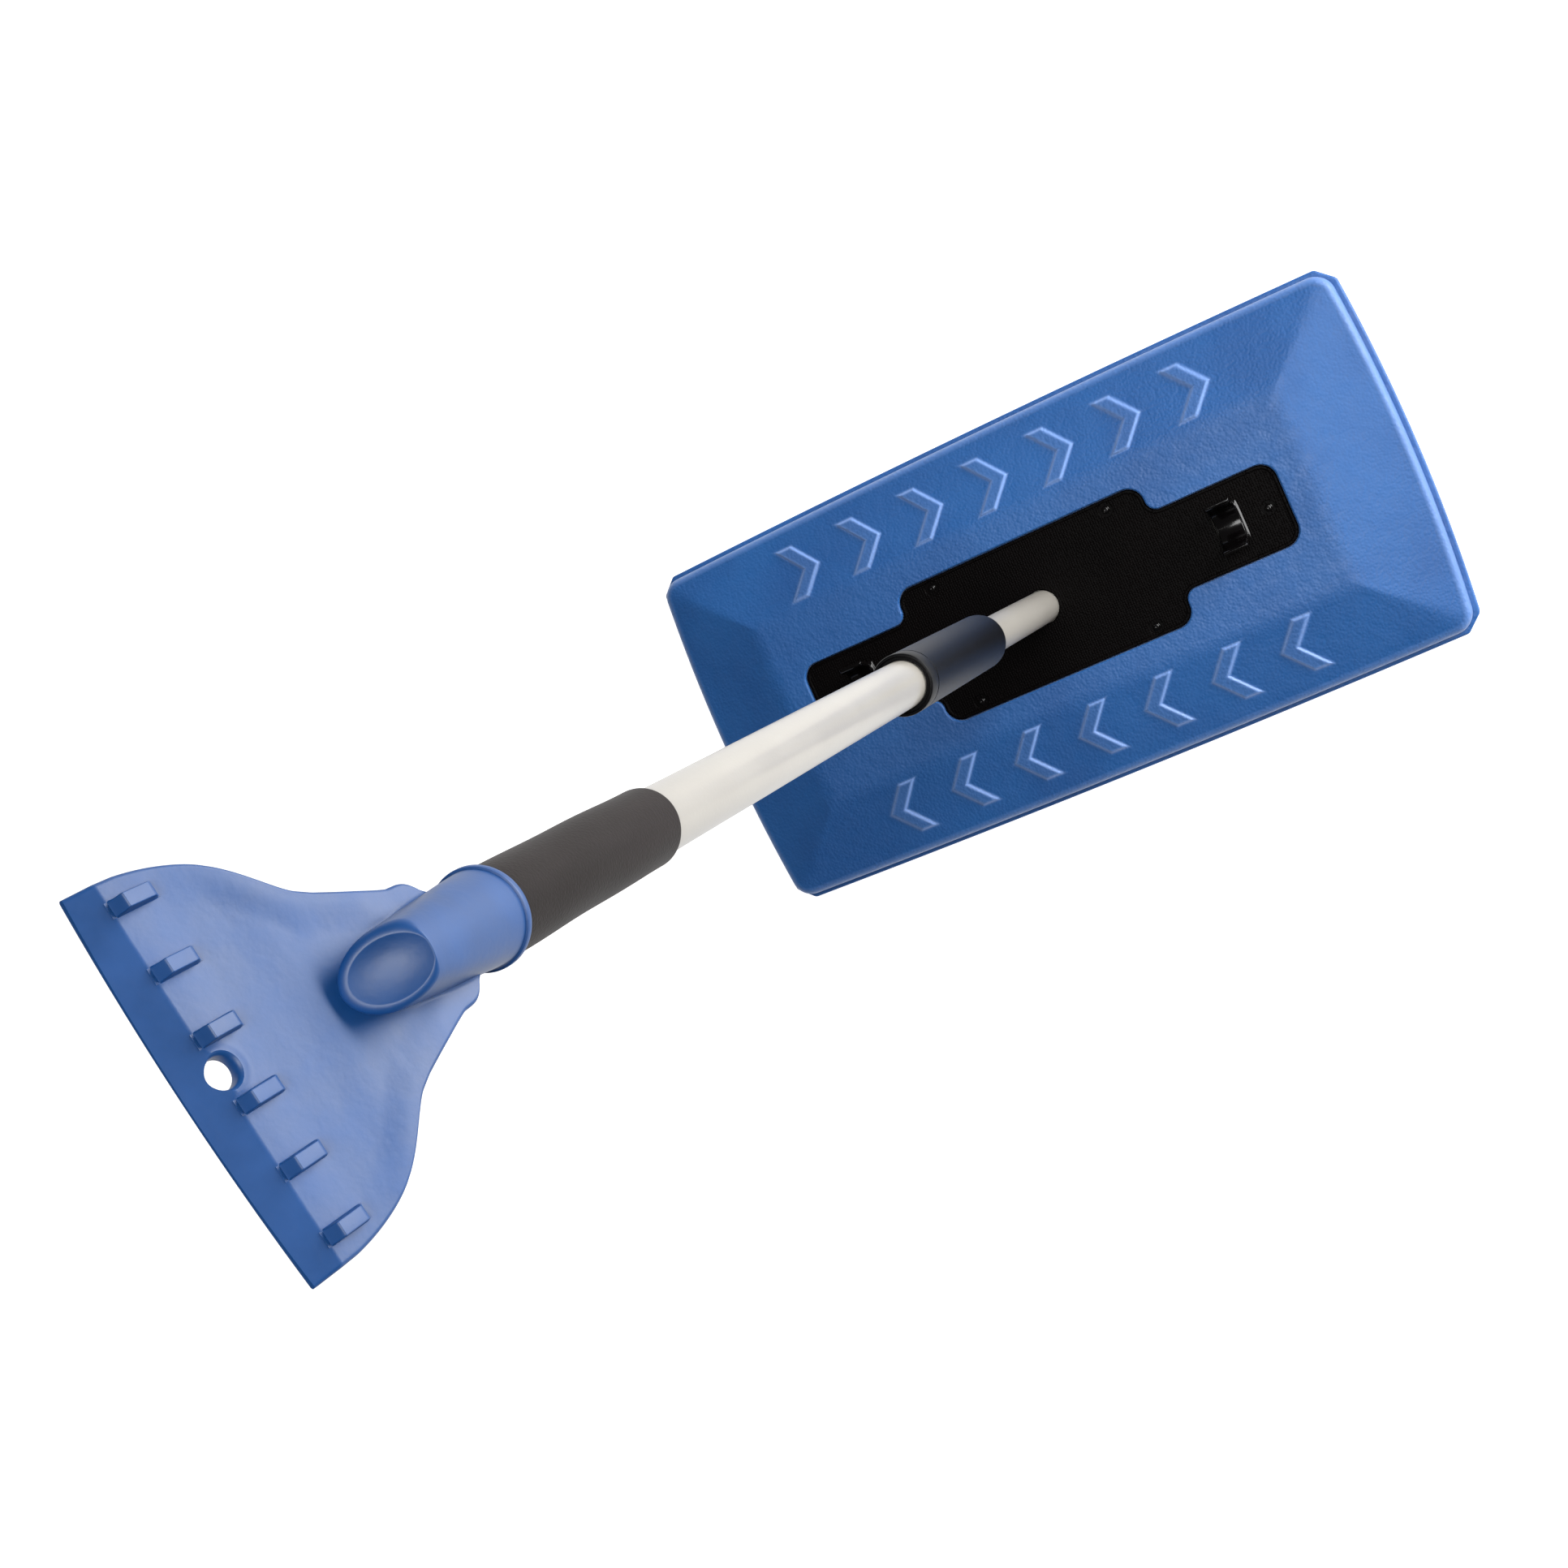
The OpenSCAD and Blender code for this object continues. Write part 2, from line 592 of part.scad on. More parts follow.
// The scraper, moulded in one piece: flange, stem with a thumb dish, fan, teeth and hanging hole.
module ice_scraper() {
    color(scraper_blue) difference() {
        union() {
            translate([0, 0, flange_foot]) cylinder(r = flange_r, h = flange_length);
            rotate([0, 0, scraper_turn]) difference() {
                stem_blank();
                translate([stem_r, -50, cut_high]) rotate([0, cut_tilt, 0])
                    translate([-100, 0, 0]) cube([200, 100, 100]);
            }
            on_fan() {
                fan_plate();
                for (i = [0:teeth - 1]) translate([0, (i - (teeth - 1) / 2) * tooth_pitch, tooth_u]) tooth();
                translate([-1, 0, hang_u]) rotate([0, 90, 0]) cylinder(r = boss_r, h = 1 + boss_rise);
            }
        }
        rotate([0, 0, scraper_turn]) translate([stem_r, 0, cut_high]) rotate([0, cut_tilt, 0])
            translate([dish_x - stem_r, 0, dish_r - dish_depth]) sphere(r = dish_r);
        translate([0, 0, flange_foot - eps]) cylinder(r = outer_tube_r + snug, h = socket_top - flange_foot + eps);
        on_fan() translate([-3 * fan_thick, 0, hang_u]) rotate([0, 90, 0]) cylinder(r = hang_r, h = 6 * fan_thick);
        on_fan() translate([0, -boss_r, blade_reach - bevel_depth])
            rotate([0, -atan((fan_thick - edge_thick) / bevel_depth), 0]) cube([9, 2 * boss_r, 9]);
        scraper_screw_hole();
    }
}

// The plug that keeps the upper tube round inside the scraper's socket.
module end_plug() {
    color(pp_black) difference() {
        translate([0, 0, end_plug_foot]) cylinder(r = outer_bore_r - snug, h = end_plug_length);
        scraper_screw_hole();
    }
}

// The screw that holds the scraper, tube and plug together, on the side away from the teeth.
module scraper_screw() {
    seat = stem_r - screw_sink;
    color("silver") rotate([0, 0, scraper_turn]) translate([0, 0, screw_z]) {
        translate([-seat - 1.6, 0, 0]) rotate([0, 90, 0]) cylinder(r = screw_head_r, h = 1.6);
        translate([-seat - eps, 0, 0]) rotate([0, 90, 0]) cylinder(r = scraper_screw_r, h = seat - 0.45 * stem_r);
    }
}

foam_face();
foam_cover();
mount_plate();
stiffener_plate();
thread_insert();
plate_rivets();
rivet_washers();
seal_washer();
thread_tip();
tip_pin();
inner_tube();
spindle_plug();
plug_pin();
cam_ring();
guide_disc();
spindle_screw();
outer_tube();
lock_collar();
slide_bush();
grip_sleeve();
ice_scraper();
end_plug();
scraper_screw();
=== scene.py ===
import math

import bmesh
import bpy
import numpy as np
from mathutils import Matrix, Vector


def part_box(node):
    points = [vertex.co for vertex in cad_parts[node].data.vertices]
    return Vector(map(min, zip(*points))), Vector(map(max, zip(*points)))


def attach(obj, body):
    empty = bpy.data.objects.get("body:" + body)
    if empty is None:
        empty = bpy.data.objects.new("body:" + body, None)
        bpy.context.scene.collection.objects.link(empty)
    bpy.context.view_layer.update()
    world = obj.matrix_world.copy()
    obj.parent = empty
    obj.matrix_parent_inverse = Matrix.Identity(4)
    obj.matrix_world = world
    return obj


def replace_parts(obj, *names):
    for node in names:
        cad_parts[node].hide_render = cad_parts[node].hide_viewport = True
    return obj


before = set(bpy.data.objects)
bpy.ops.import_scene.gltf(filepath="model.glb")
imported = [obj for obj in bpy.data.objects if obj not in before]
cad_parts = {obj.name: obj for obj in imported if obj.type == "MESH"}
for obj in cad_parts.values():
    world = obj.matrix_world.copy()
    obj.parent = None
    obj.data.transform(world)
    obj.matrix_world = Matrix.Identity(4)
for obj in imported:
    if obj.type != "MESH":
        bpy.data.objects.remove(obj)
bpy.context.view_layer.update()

# ---------------------------------------------------------------- the view
# The camera looks down the pole from above its scraper end, turned on its side so that
# the pole runs across the picture from the lower left to the upper right.
view_from, view_up_angle, view_distance = (97.415, 69.122), 121.096, 1.14777
view_aim = Vector((-0.1333, -0.0281, 0.2))
bearing, height = (math.radians(a) for a in view_from)
flat_reach = math.cos(height)
forward = Vector((-math.sin(bearing) * flat_reach, math.cos(bearing) * flat_reach, -math.sin(height)))
level = forward.cross(Vector((0, 0, 1))).normalized()
roll = math.radians(view_up_angle)
top = math.cos(roll) * level.cross(forward) + math.sin(roll) * level
camera = bpy.data.objects.new("camera", bpy.data.cameras.new("camera"))
camera.data.lens, camera.data.sensor_width = 48.27, 36
camera.matrix_world = Matrix.Translation(view_aim - view_distance * forward) @ Matrix(
    (forward.cross(top), top, -forward)).transposed().to_4x4()
bpy.context.scene.collection.objects.link(camera)
bpy.context.scene.camera = camera

# ---------------------------------------------------------------- floor and light
# A plain sweep of white acrylic lit from below, and four soft boxes: a low one that the
# fan's sloping face mirrors, a gridded one that streaks the foam's far end, one close to
# the camera for the thumb dish, and one above.


def srgb(code):
    """sRGB hex to linear light: a channel c up to 0.04045 is divided by 12.92, and above that it is
    ((c + 0.055) / 1.055) to the power 2.4."""
    c = np.array([int(code[i:i + 2], 16) for i in (1, 3, 5)]) / 255
    return (*np.where(c <= 0.04045, c / 12.92, ((c + 0.055) / 1.055) ** 2.4).tolist(), 1.0)


def add(tree, kind, inputs={}, **settings):
    """Adds one node: settings are its own properties, and inputs gives each socket a value, or
    another node's output to be linked from."""
    new = tree.nodes.new("ShaderNode" + kind)
    for key, value in settings.items():
        setattr(new, key, value)
    for key, value in inputs.items():
        if isinstance(value, bpy.types.NodeSocket):
            tree.links.new(value, new.inputs[key])
        else:
            new.inputs[key].default_value = value
    return new


def finish_of(name, **surface):
    """A new material with its shader: each keyword sets the shader's socket of that name, with
    underscores for spaces. Returns the material, its tree, its shader and the object coordinates."""
    made = bpy.data.materials.new(name)
    made.use_nodes = True
    shader = made.node_tree.nodes["Principled BSDF"]
    for key, value in surface.items():
        shader.inputs[key.replace("_", " ")].default_value = value
    where = add(made.node_tree, "TexCoord").outputs["Object"]
    return made, made.node_tree, shader, where


acrylic, tree, shader, where = finish_of("Lit white acrylic sweep", Roughness=0.9,
                                         Specular_IOR_Level=0.0, Emission_Strength=0.9)
shader.inputs["Base Color"].default_value = srgb("#c8c8c8")
shader.inputs["Emission Color"].default_value = (1, 1, 1, 1)
floor_size, floor_drop = 14, 0.0006
bpy.ops.mesh.primitive_plane_add(size=floor_size, location=(0, 0, -floor_drop))
floor = bpy.context.object
floor.name = "floor"
floor.data.materials.append(acrylic)

for name, place, aim, size, watts, spread in (
        ("low_side_box", (1.25, 0.36, 0.33), (0, 0, 0.75), (1.15, 0.62), 23, 180),
        ("head_box", (1.3, 0.5, 0.95), (0.05, 0, 0), (0.8, 0.8), 1.2, 44),
        ("camera_box", (0.36, 0.13, 2.2), (0.03, 0, 0.3), (0.7, 0.7), 17, 180),
        ("top_box", (1.0, 0.75, 3.6), (0, 0, 0), (1.8, 1.8), 6, 180)):
    lamp = bpy.data.objects.new(name, bpy.data.lights.new(name, "AREA"))
    lamp.data.shape, lamp.data.size, lamp.data.size_y, lamp.data.energy = "RECTANGLE", *size, watts
    lamp.data.spread = math.radians(spread)
    lamp.location = place
    lamp.rotation_euler = (Vector(aim) - Vector(place)).to_track_quat("-Z", "Y").to_euler()
    lamp.visible_camera = False
    bpy.context.scene.collection.objects.link(lamp)
# The surround lights the broom faintly and looks pale behind it.
surround_light, surround_look = 0.08, 0.86
surround = bpy.data.worlds.new("surround")
surround.use_nodes = True
backdrop = surround.node_tree.nodes["Background"]
backdrop.inputs["Color"].default_value = (1, 1, 1, 1)
seen = add(surround.node_tree, "LightPath").outputs["Is Camera Ray"]
shown = add(surround.node_tree, "MapRange", {"Value": seen, "To Min": surround_light,
                                             "To Max": surround_look})
surround.node_tree.links.new(shown.outputs[0], backdrop.inputs["Strength"])
bpy.context.scene.world = surround
bpy.context.scene.view_settings.view_transform = "Standard"

# ---------------------------------------------------------------- foam face
# The layer that pushes the snow: a slab of closed-cell polyethylene foam cut to a bowed
# outline with its corners sliced off, pocketed on top for the stiffener, the socket and
# the rivets' tails, and glued to the cover layer above it.


def span(node):
    """A CAD node's lowest and highest corners, in millimetres."""
    low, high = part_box(node)
    return np.array(low) * 1000, np.array(high) * 1000


def smooth(t):
    """Rises from 0 to 1 as t does, level at both ends: 3t squared minus 2t cubed."""
    t = np.clip(t, 0, 1)
    return t * t * (3 - 2 * t)


def rounded(corners, radii, steps=12):
    """A polygon with each corner rounded: an arc about the point on the corner's bisector that is one
    radius from both sides, swept from one tangent point to the other."""

    def unit(v):
        """Rows scaled to length one."""
        return v / np.linalg.norm(v, axis=1, keepdims=True)

    b, r = np.array(corners, float), np.array(radii, float)
    u, v = unit(np.roll(b, 1, 0) - b), unit(np.roll(b, -1, 0) - b)
    half = np.arccos(np.clip((u * v).sum(1), -1, 1)) / 2
    middle = b + unit(u + v) * (r / np.sin(half))[:, None]
    start, end = (b + w * (r / np.tan(half))[:, None] - middle for w in (u, v))
    sweep, t = (np.pi - 2 * half)[:, None, None], np.linspace(0, 1, steps)[None, :, None]
    arc = (np.sin((1 - t) * sweep) * start[:, None] + np.sin(t * sweep) * end[:, None]) / np.sin(sweep)
    return (arc + middle[:, None]).reshape(-1, 2)


def evenly(outline, count):
    """Points at equal steps of length along a closed outline."""
    closed = np.vstack([outline, outline[:1]])
    run = np.r_[0, np.cumsum(np.hypot(*np.diff(closed, axis=0).T))]
    at = np.linspace(0, run[-1], count, endpoint=False)
    return np.stack([np.interp(at, run, closed[:, 0]), np.interp(at, run, closed[:, 1])], -1)


def bowed(outline, half, bow):
    """Pushes an outline's sides outwards, most at their middles: each side moves by its bow times one
    minus the square of the way along it, eased to nothing where the two halves meet."""
    x, y = evenly(outline, 4000).T
    push_x = bow[0] * (1 - (y / half[1]) ** 2) * np.minimum(1, 3 * abs(x) / half[0])
    push_y = bow[1] * (1 - (x / half[0]) ** 2) * np.minimum(1, 3 * abs(y) / half[1])
    return np.stack([x + np.sign(x) * push_x, y + np.sign(y) * push_y], -1)


def reach(outline, bearings):
    """How far a star-shaped outline lies from the pole's axis along each bearing."""
    x, y = evenly(outline, 6000).T
    turn = np.arctan2(y, x)
    order = np.argsort(turn)
    return np.interp(bearings, turn[order], np.hypot(x, y)[order], period=2 * np.pi)


def rings(bearings, levels):
    """Stacks rings of points about the pole's axis: each level is a distance, one for all bearings or
    one for each, and a height."""
    r = np.stack([np.broadcast_to(level[0], bearings.shape) for level in levels])
    z = np.stack([np.broadcast_to(level[1], bearings.shape) for level in levels])
    return np.stack([r * np.cos(bearings), r * np.sin(bearings), z], -1)


def shell(grid, wrap=False, low=False, high=False):
    """Faces of a grid of points, rows by columns, whose columns run round: each face joins a point to
    the next column and row. Rows wrap too, or a cap joins an end row to its middle. The faces are
    turned outwards if the volume they enclose comes out negative."""
    rows, cols = grid.shape[:2]
    index = np.arange(rows * cols).reshape(rows, cols)
    under, over = (index, np.roll(index, -1, 0)) if wrap else (index[:-1], index[1:])
    quads = np.stack([under, np.roll(under, -1, 1), np.roll(over, -1, 1), over], -1).reshape(-1, 4)
    points, tris = grid.reshape(-1, 3), np.zeros((0, 3), int)
    for wanted, row, turn in ((low, 0, -1), (high, -1, 1)):
        if wanted:
            ring = index[row]
            fan = np.stack([ring, np.roll(ring, -1), np.full(cols, len(points))], -1)[:, ::turn]
            tris, points = np.vstack([tris, fan]), np.vstack([points, grid[row].mean(0)])
    corners = np.vstack([quads[:, [0, 1, 2]], quads[:, [0, 2, 3]], tris])
    a, b, c = (points[corners[:, i]] for i in range(3))
    if (a * np.cross(b, c)).sum() < 0:
        quads, tris = quads[:, ::-1], tris[:, ::-1]
    return points, quads, tris


def make(name, shells, finish, crease=35):
    """One mesh object from closed shells in millimetres, with smooth shading broken where faces meet
    at more than the crease angle."""
    points, faces, start = [], [], 0
    for p, quads, tris in shells:
        points.append(p)
        faces += (quads + start).tolist() + (tris + start).tolist()
        start += len(p)
    mesh = bpy.data.meshes.new(name)
    mesh.from_pydata(np.vstack(points) * 0.001, [], faces)
    mesh.materials.append(finish)
    mesh.shade_smooth()
    mesh.set_sharp_from_angle(angle=math.radians(crease))
    made = bpy.data.objects.new(name, mesh)
    bpy.context.scene.collection.objects.link(made)
    return made


head_half, head_bow, cut_corner = span("foam_face")[1][:2], (6.0, 2.5), 9.0
face_top, pocket_floor, pocket_half = 12.0, 9.0, (190.5, 75.5)
face_edge, side_groove, top_edge, corner_soft = 2.0, 0.35, 1.4, 2.5
well_radius, well_depth, pit_radius, pit_floor = 5.3, 3.2, 10.9, 4.8
rivet_x, rivet_y, rivet_end = 57.6, 37.5, 143.6
rivets = np.array([(-rivet_x, -rivet_y), (-rivet_x, rivet_y), (rivet_x, -rivet_y), (rivet_x, rivet_y),
                   (-rivet_end, 0), (rivet_end, 0)])


def face_outline(margin):
    """The face layer's outline moved in by a margin: a rectangle with its corners sliced off, bowed."""
    hx, hy = head_half - head_bow - margin
    c = cut_corner - (2 - math.sqrt(2)) * margin
    around = [(hx, c - hy), (hx, hy - c), (hx - c, hy), (c - hx, hy)]
    around += [(-x, -y) for x, y in around]
    return bowed(rounded(around, [corner_soft] * 8), head_half - margin, head_bow)


def unevenness(x, y):
    """The slow waviness of cut foam, within about a third of a millimetre: three crossing waves of
    different lengths, a tenth of a millimetre high each."""
    waves = np.sin(x / 23 + np.sin(y / 31)), np.sin(y / 17 + 2 + np.sin(x / 41)), np.sin((x + y) / 13 + 1)
    return 0.1 * sum(waves)


def face_ring(margin, z):
    """One ring of the face layer: its outline at a margin, seen along the bearings, at a height."""
    return reach(face_outline(margin), bearings), z


start = evenly(face_outline(0), 1000)
bearings = np.unwrap(np.arctan2(start[:, 1], start[:, 0]))
turn = np.radians(np.linspace(90, 0, 7))
foot, rim = face_ring(face_edge, 0)[0], face_ring(0, 0)[0]
px, py = pocket_half
pocket = reach([(px, -py), (px, py), (-px, py), (-px, -py)], bearings)
under_rows = 24
levels = [(foot * s, 0) for s in np.linspace(0.04, 1, under_rows) ** 0.7]
levels += [face_ring(face_edge * (1 - math.cos(a)), face_edge * (1 - math.sin(a))) for a in turn[1:]]
levels += [(rim - 0.25, 5), (rim - side_groove, 7.5), (rim, face_top - top_edge - 0.2)]
levels += [face_ring(top_edge * (1 - math.cos(a)), face_top - top_edge * (1 - math.sin(a)))
           for a in turn[::-1]]
levels += [face_ring(margin, face_top) for margin in (3, 6, 12)]
levels += [(pocket + 0.3, face_top), (pocket, face_top - 0.3), (pocket, pocket_floor)]
levels += [(pit_radius + (pocket - pit_radius) * s, pocket_floor) for s in np.linspace(0.97, 0.0, 40)]
levels += [(pit_radius, pit_floor), (pit_radius * 0.5, pit_floor)]
grid = rings(bearings, levels)
below = grid[:under_rows]
below[..., 2] += 0.25 + unevenness(below[..., 0], below[..., 1])
well = np.linalg.norm(grid[..., None, :2] - rivets, axis=-1).min(-1)
sunk = well_depth * smooth((well_radius + 0.6 - well) / 1.2)
grid[..., 2] -= np.where(grid[..., 2] == pocket_floor, sunk, 0)

# Closed-cell polyethylene foam, moulded against a pebbled tool: a soft satin skin with
# flattened pebbles 1.2 mm apart, drawn a little coarser so that they show, paler along its
# rounded edge, and with a painted highlight round each chevron's outline.
head_foam, tree, shader, where = finish_of("Moulded closed-cell foam", Specular_IOR_Level=0.65,
                                           Sheen_Weight=0.12, Sheen_Roughness=0.5)
foam_deep, foam_blue, foam_pale_and_highlight = srgb("#14569b"), srgb("#1b60a7"), srgb("#86a9e6")
pebble = add(tree, "TexVoronoi", {"Vector": where, "Scale": 1000 / 1.7, "Smoothness": 0.6, "Randomness": 0.9},
             feature="SMOOTH_F1")
dents = add(tree, "TexNoise", {"Vector": where, "Scale": 1000 / 7, "Detail": 3})
clouds = add(tree, "TexNoise", {"Vector": where, "Scale": 1000 / 60, "Detail": 2})
pale_edge_and_highlight_node = add(tree, "Attribute", attribute_name="pale_edge_and_highlight")
tone = add(tree, "ValToRGB", {"Fac": clouds.outputs[0]})
tone.color_ramp.elements[0].position, tone.color_ramp.elements[0].color = 0.35, foam_deep
tone.color_ramp.elements[1].position, tone.color_ramp.elements[1].color = 0.65, foam_blue
# The pale blue goes in two ways: as a paler band along the cover's rounded edge, and as a painted highlight
# round the chevrons' outlines.
pale_edge_and_highlight_mix = add(tree, "MixRGB", {"Fac": pale_edge_and_highlight_node.outputs["Fac"], "Color1": tone.outputs[0], "Color2": foam_pale_and_highlight})
tree.links.new(pale_edge_and_highlight_mix.outputs[0], shader.inputs["Base Color"])
gloss = add(tree, "MapRange", {"Value": dents.outputs[0], "From Min": 0.3, "From Max": 0.7,
                               "To Min": 0.44, "To Max": 0.56})
tree.links.new(gloss.outputs[0], shader.inputs["Roughness"])
grain = add(tree, "Bump", {"Height": pebble.outputs["Distance"], "Strength": 0.35, "Distance": 0.0005},
            invert=True)
wave = add(tree, "Bump", {"Height": dents.outputs[0], "Normal": grain.outputs[0],
                          "Strength": 0.3, "Distance": 0.0008})
tree.links.new(wave.outputs[0], shader.inputs["Normal"])

foam_face = make("foam_push_face", [shell(grid, low=True, high=True)], head_foam)
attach(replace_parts(foam_face, "foam_face"), "head")

# ---------------------------------------------------------------- foam cover
# The upper layer: the same foam, moulded with a rounded edge, four slopes that rise to a
# flat panel, a cut-out for the mount plate, and on each long slope a raised row of seven
# plain chevrons.
ledge, edge_level, panel_level, cover_round, corner_radius = 3.0, 24.0, span("foam_cover")[1][2], 5.0, 11.0
panel_half, hip_sharpness, hip_ease = (172.0, 60.0), 14, 5
plate_end, plate_mid_y = span("mount_plate")[1][:2]
plate_mid_x, plate_end_y, plate_corner, plate_step_corner = 80.0, 25.0, 10, 7
plate_gap, cutout_floor, cutout_soft, hub_hole = 0.5, 27.9, 1.2, 17.5
chevrons, chevron_pitch, chevron_row, chevron_half = 7, 43.0, 81.0, 16.0
stroke_half, chevron_lean, raised = 3.75, math.radians(40), 1.15


def cover_outline(margin):
    """The cover's outline moved in by a margin from the ledge: a bowed rectangle, round corners."""
    hx, hy = head_half - head_bow - ledge - margin
    around = rounded([(hx, -hy), (hx, hy), (-hx, hy), (-hx, -hy)], [max(corner_radius - margin, 2)] * 4)
    return bowed(around, head_half - ledge - margin, head_bow)


def plate_outline(margin):
    """The mount plate's stepped outline moved in by a margin: a wide middle and two narrow ends, with
    round corners outside and inside."""
    end, mid, wide, narrow = (d - margin for d in (plate_end, plate_mid_x, plate_mid_y, plate_end_y))
    quarter = [(end, narrow), (mid, narrow), (mid, wide)]
    half_way = quarter + [(-x, y) for x, y in quarter[::-1]]
    outer, inner = plate_corner - margin, plate_step_corner + margin
    return rounded(half_way + [(-x, -y) for x, y in half_way], [outer, inner, outer] * 4)


def past(value, limit, ease):
    """How far a value is past a limit, with the bend at the limit eased over a short way: nothing
    before it, a parabola through it, and a straight rise after it."""
    d = value - limit
    return np.where(abs(d) < ease, (d + ease) ** 2 / (4 * ease), np.maximum(d, 0))


def chevron_distance(x, y):
    """Distance from the edge of the nearest chevron, negative inside: a bent band, which is a strip
    leaning by the same angle on both sides of the row's middle line, cut off at the row's height. The
    row across the pole is the same row turned half round."""
    side = np.where(y < 0, -1, 1)
    u, v = side * x, abs(side * y - chevron_row)
    along = u - chevron_pitch * np.clip(np.round(u / chevron_pitch), -(chevrons // 2), chevrons // 2)
    from_middle = along + (v - chevron_half / 2) * math.tan(chevron_lean)
    return np.maximum(abs(from_middle * math.cos(chevron_lean)) - stroke_half, v - chevron_half)


def cover_ring(margin, z):
    """One ring of the cover: its outline at a margin, seen along the bearings, at a height."""
    return reach(cover_outline(margin), bearings), z


def hip(side, other, axis):
    """How far down a slope lies, from 0 at the panel's edge to 1 at the rim: the way past the panel's
    edge over the way from it to the bowed rim."""
    bow = head_bow[axis] * (other / head_half[1 - axis]) ** 2
    rim = head_half[axis] - ledge - cover_round - bow
    return past(abs(side), panel_half[axis], hip_ease) / (rim - panel_half[axis])


start = evenly(cover_outline(0), 1400)
bearings = np.unwrap(np.arctan2(start[:, 1], start[:, 0]))
turn = np.radians(np.linspace(0, 90, 10))
inner_edge, cutout = cover_ring(cover_round, 0)[0], reach(plate_outline(-plate_gap), bearings)
foot_levels = ((1.3, 0), (0.9, 0.25), (0.2, 0.9), (0, 1.8), (0.15, 3.6))
side_rows, wall_margin = len(foot_levels), 0.2
levels = [cover_ring(margin, face_top + z) for margin, z in foot_levels]
levels += [cover_ring(wall_margin + (cover_round - wall_margin) * (1 - math.cos(a)),
                      edge_level - cover_round * (1 - math.sin(a))) for a in turn]
top_row = len(levels)
steps = np.linspace(0, 1, 120)[1:]
levels += [(inner_edge + (cutout + cutout_soft - inner_edge) * s, panel_level) for s in steps]
last_row = len(levels)
levels += [(cutout + cutout_soft * (1 - math.sin(a)), panel_level - cutout_soft * (1 - math.cos(a)))
           for a in turn[1::2]]
levels += [(cutout, cutout_floor), (hub_hole, cutout_floor), (hub_hole, face_top)]
grid = rings(bearings, levels)
slope = grid[top_row:last_row]
x, y = slope[..., 0], slope[..., 1]
fall = np.minimum((hip(x, y, 0) ** hip_sharpness + hip(y, x, 1) ** hip_sharpness) ** (1 / hip_sharpness), 1.0)
mark = chevron_distance(x, y)
wavy = 0.6 * unevenness(x, y) * smooth(fall * 4) * smooth((1 - fall) * 8)
slope[..., 2] += raised * smooth((0.75 - mark) / 1.5) + wavy - (panel_level - edge_level) * fall
foam_cover = make("foam_top_cover", [shell(grid, wrap=True)], head_foam)
# Where the pale blue goes: a band along the cover's rounded edge, a painted highlight round each chevron's
# outline, and a slightly paler chevron face.
pale_edge_and_highlight = np.zeros(grid.shape[:2])
pale_edge_and_highlight[side_rows:top_row] = 0.35 * np.sin(np.linspace(0, np.pi, len(turn)))[:, None]
pale_edge_and_highlight[top_row:last_row] = 0.8 * np.exp(-(mark / 0.9) ** 2) + 0.12 * smooth(0.2 - mark)
pale_edge_and_highlight_layer = foam_cover.data.attributes.new("pale_edge_and_highlight", "FLOAT", "POINT")
pale_edge_and_highlight_layer.data.foreach_set("value", pale_edge_and_highlight.ravel().astype(np.float32))
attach(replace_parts(foam_cover, "foam_cover"), "head")

# ---------------------------------------------------------------- mount plate
# The plate that ties the pole to the foam: black polypropylene, injection moulded with a
# stippled face inside a narrow raised rim, a socket hub below, recesses for six rivets,
# and a C-shaped clip at each end that holds the pole for storage.
plate_top, plate_bottom, pole_hole = 32.0, 28.0, 10.4
hub_radius, socket_radius, socket_roof = 17.0, 13.05, 25.5
recess_radius, recess_floor, shank_radius, plate_crease = 4.4, 30.8, 1.7, 20
clip_x, clip_half, clip_bore, clip_wall, clip_past, lead_in = 119.5, 7.5, 11.3, 3.0, 23.5, 1.9
clip_centre = plate_top + clip_bore + 1.5


def turned(profile, count=96, centre=(0, 0)):
    """A profile of (radius, height) points carried round an upright axis."""
    angle = np.linspace(0, 2 * np.pi, count, endpoint=False)
    grid = rings(angle, profile)
    grid[..., :2] += centre
    return grid


def cut(piece, cutter):
    """Takes a cutter's solid out of a piece, and removes the cutter."""
    trim = piece.modifiers.new("cut", "BOOLEAN")
    trim.operation, trim.solver, trim.object = "DIFFERENCE", "EXACT", cutter
    bpy.context.view_layer.update()
    whole = bpy.data.meshes.new_from_object(piece.evaluated_get(bpy.context.evaluated_depsgraph_get()))
    piece.modifiers.clear()
    piece.data = whole
    bpy.data.objects.remove(cutter)


def smooth_again(piece, finish, crease):
    """Gives a cut piece one finish all over, and smooth shading up to the crease angle."""
    piece.data.materials.clear()
    piece.data.materials.append(finish)
    piece.data.shade_smooth()
    piece.data.set_sharp_from_angle(angle=math.radians(crease))


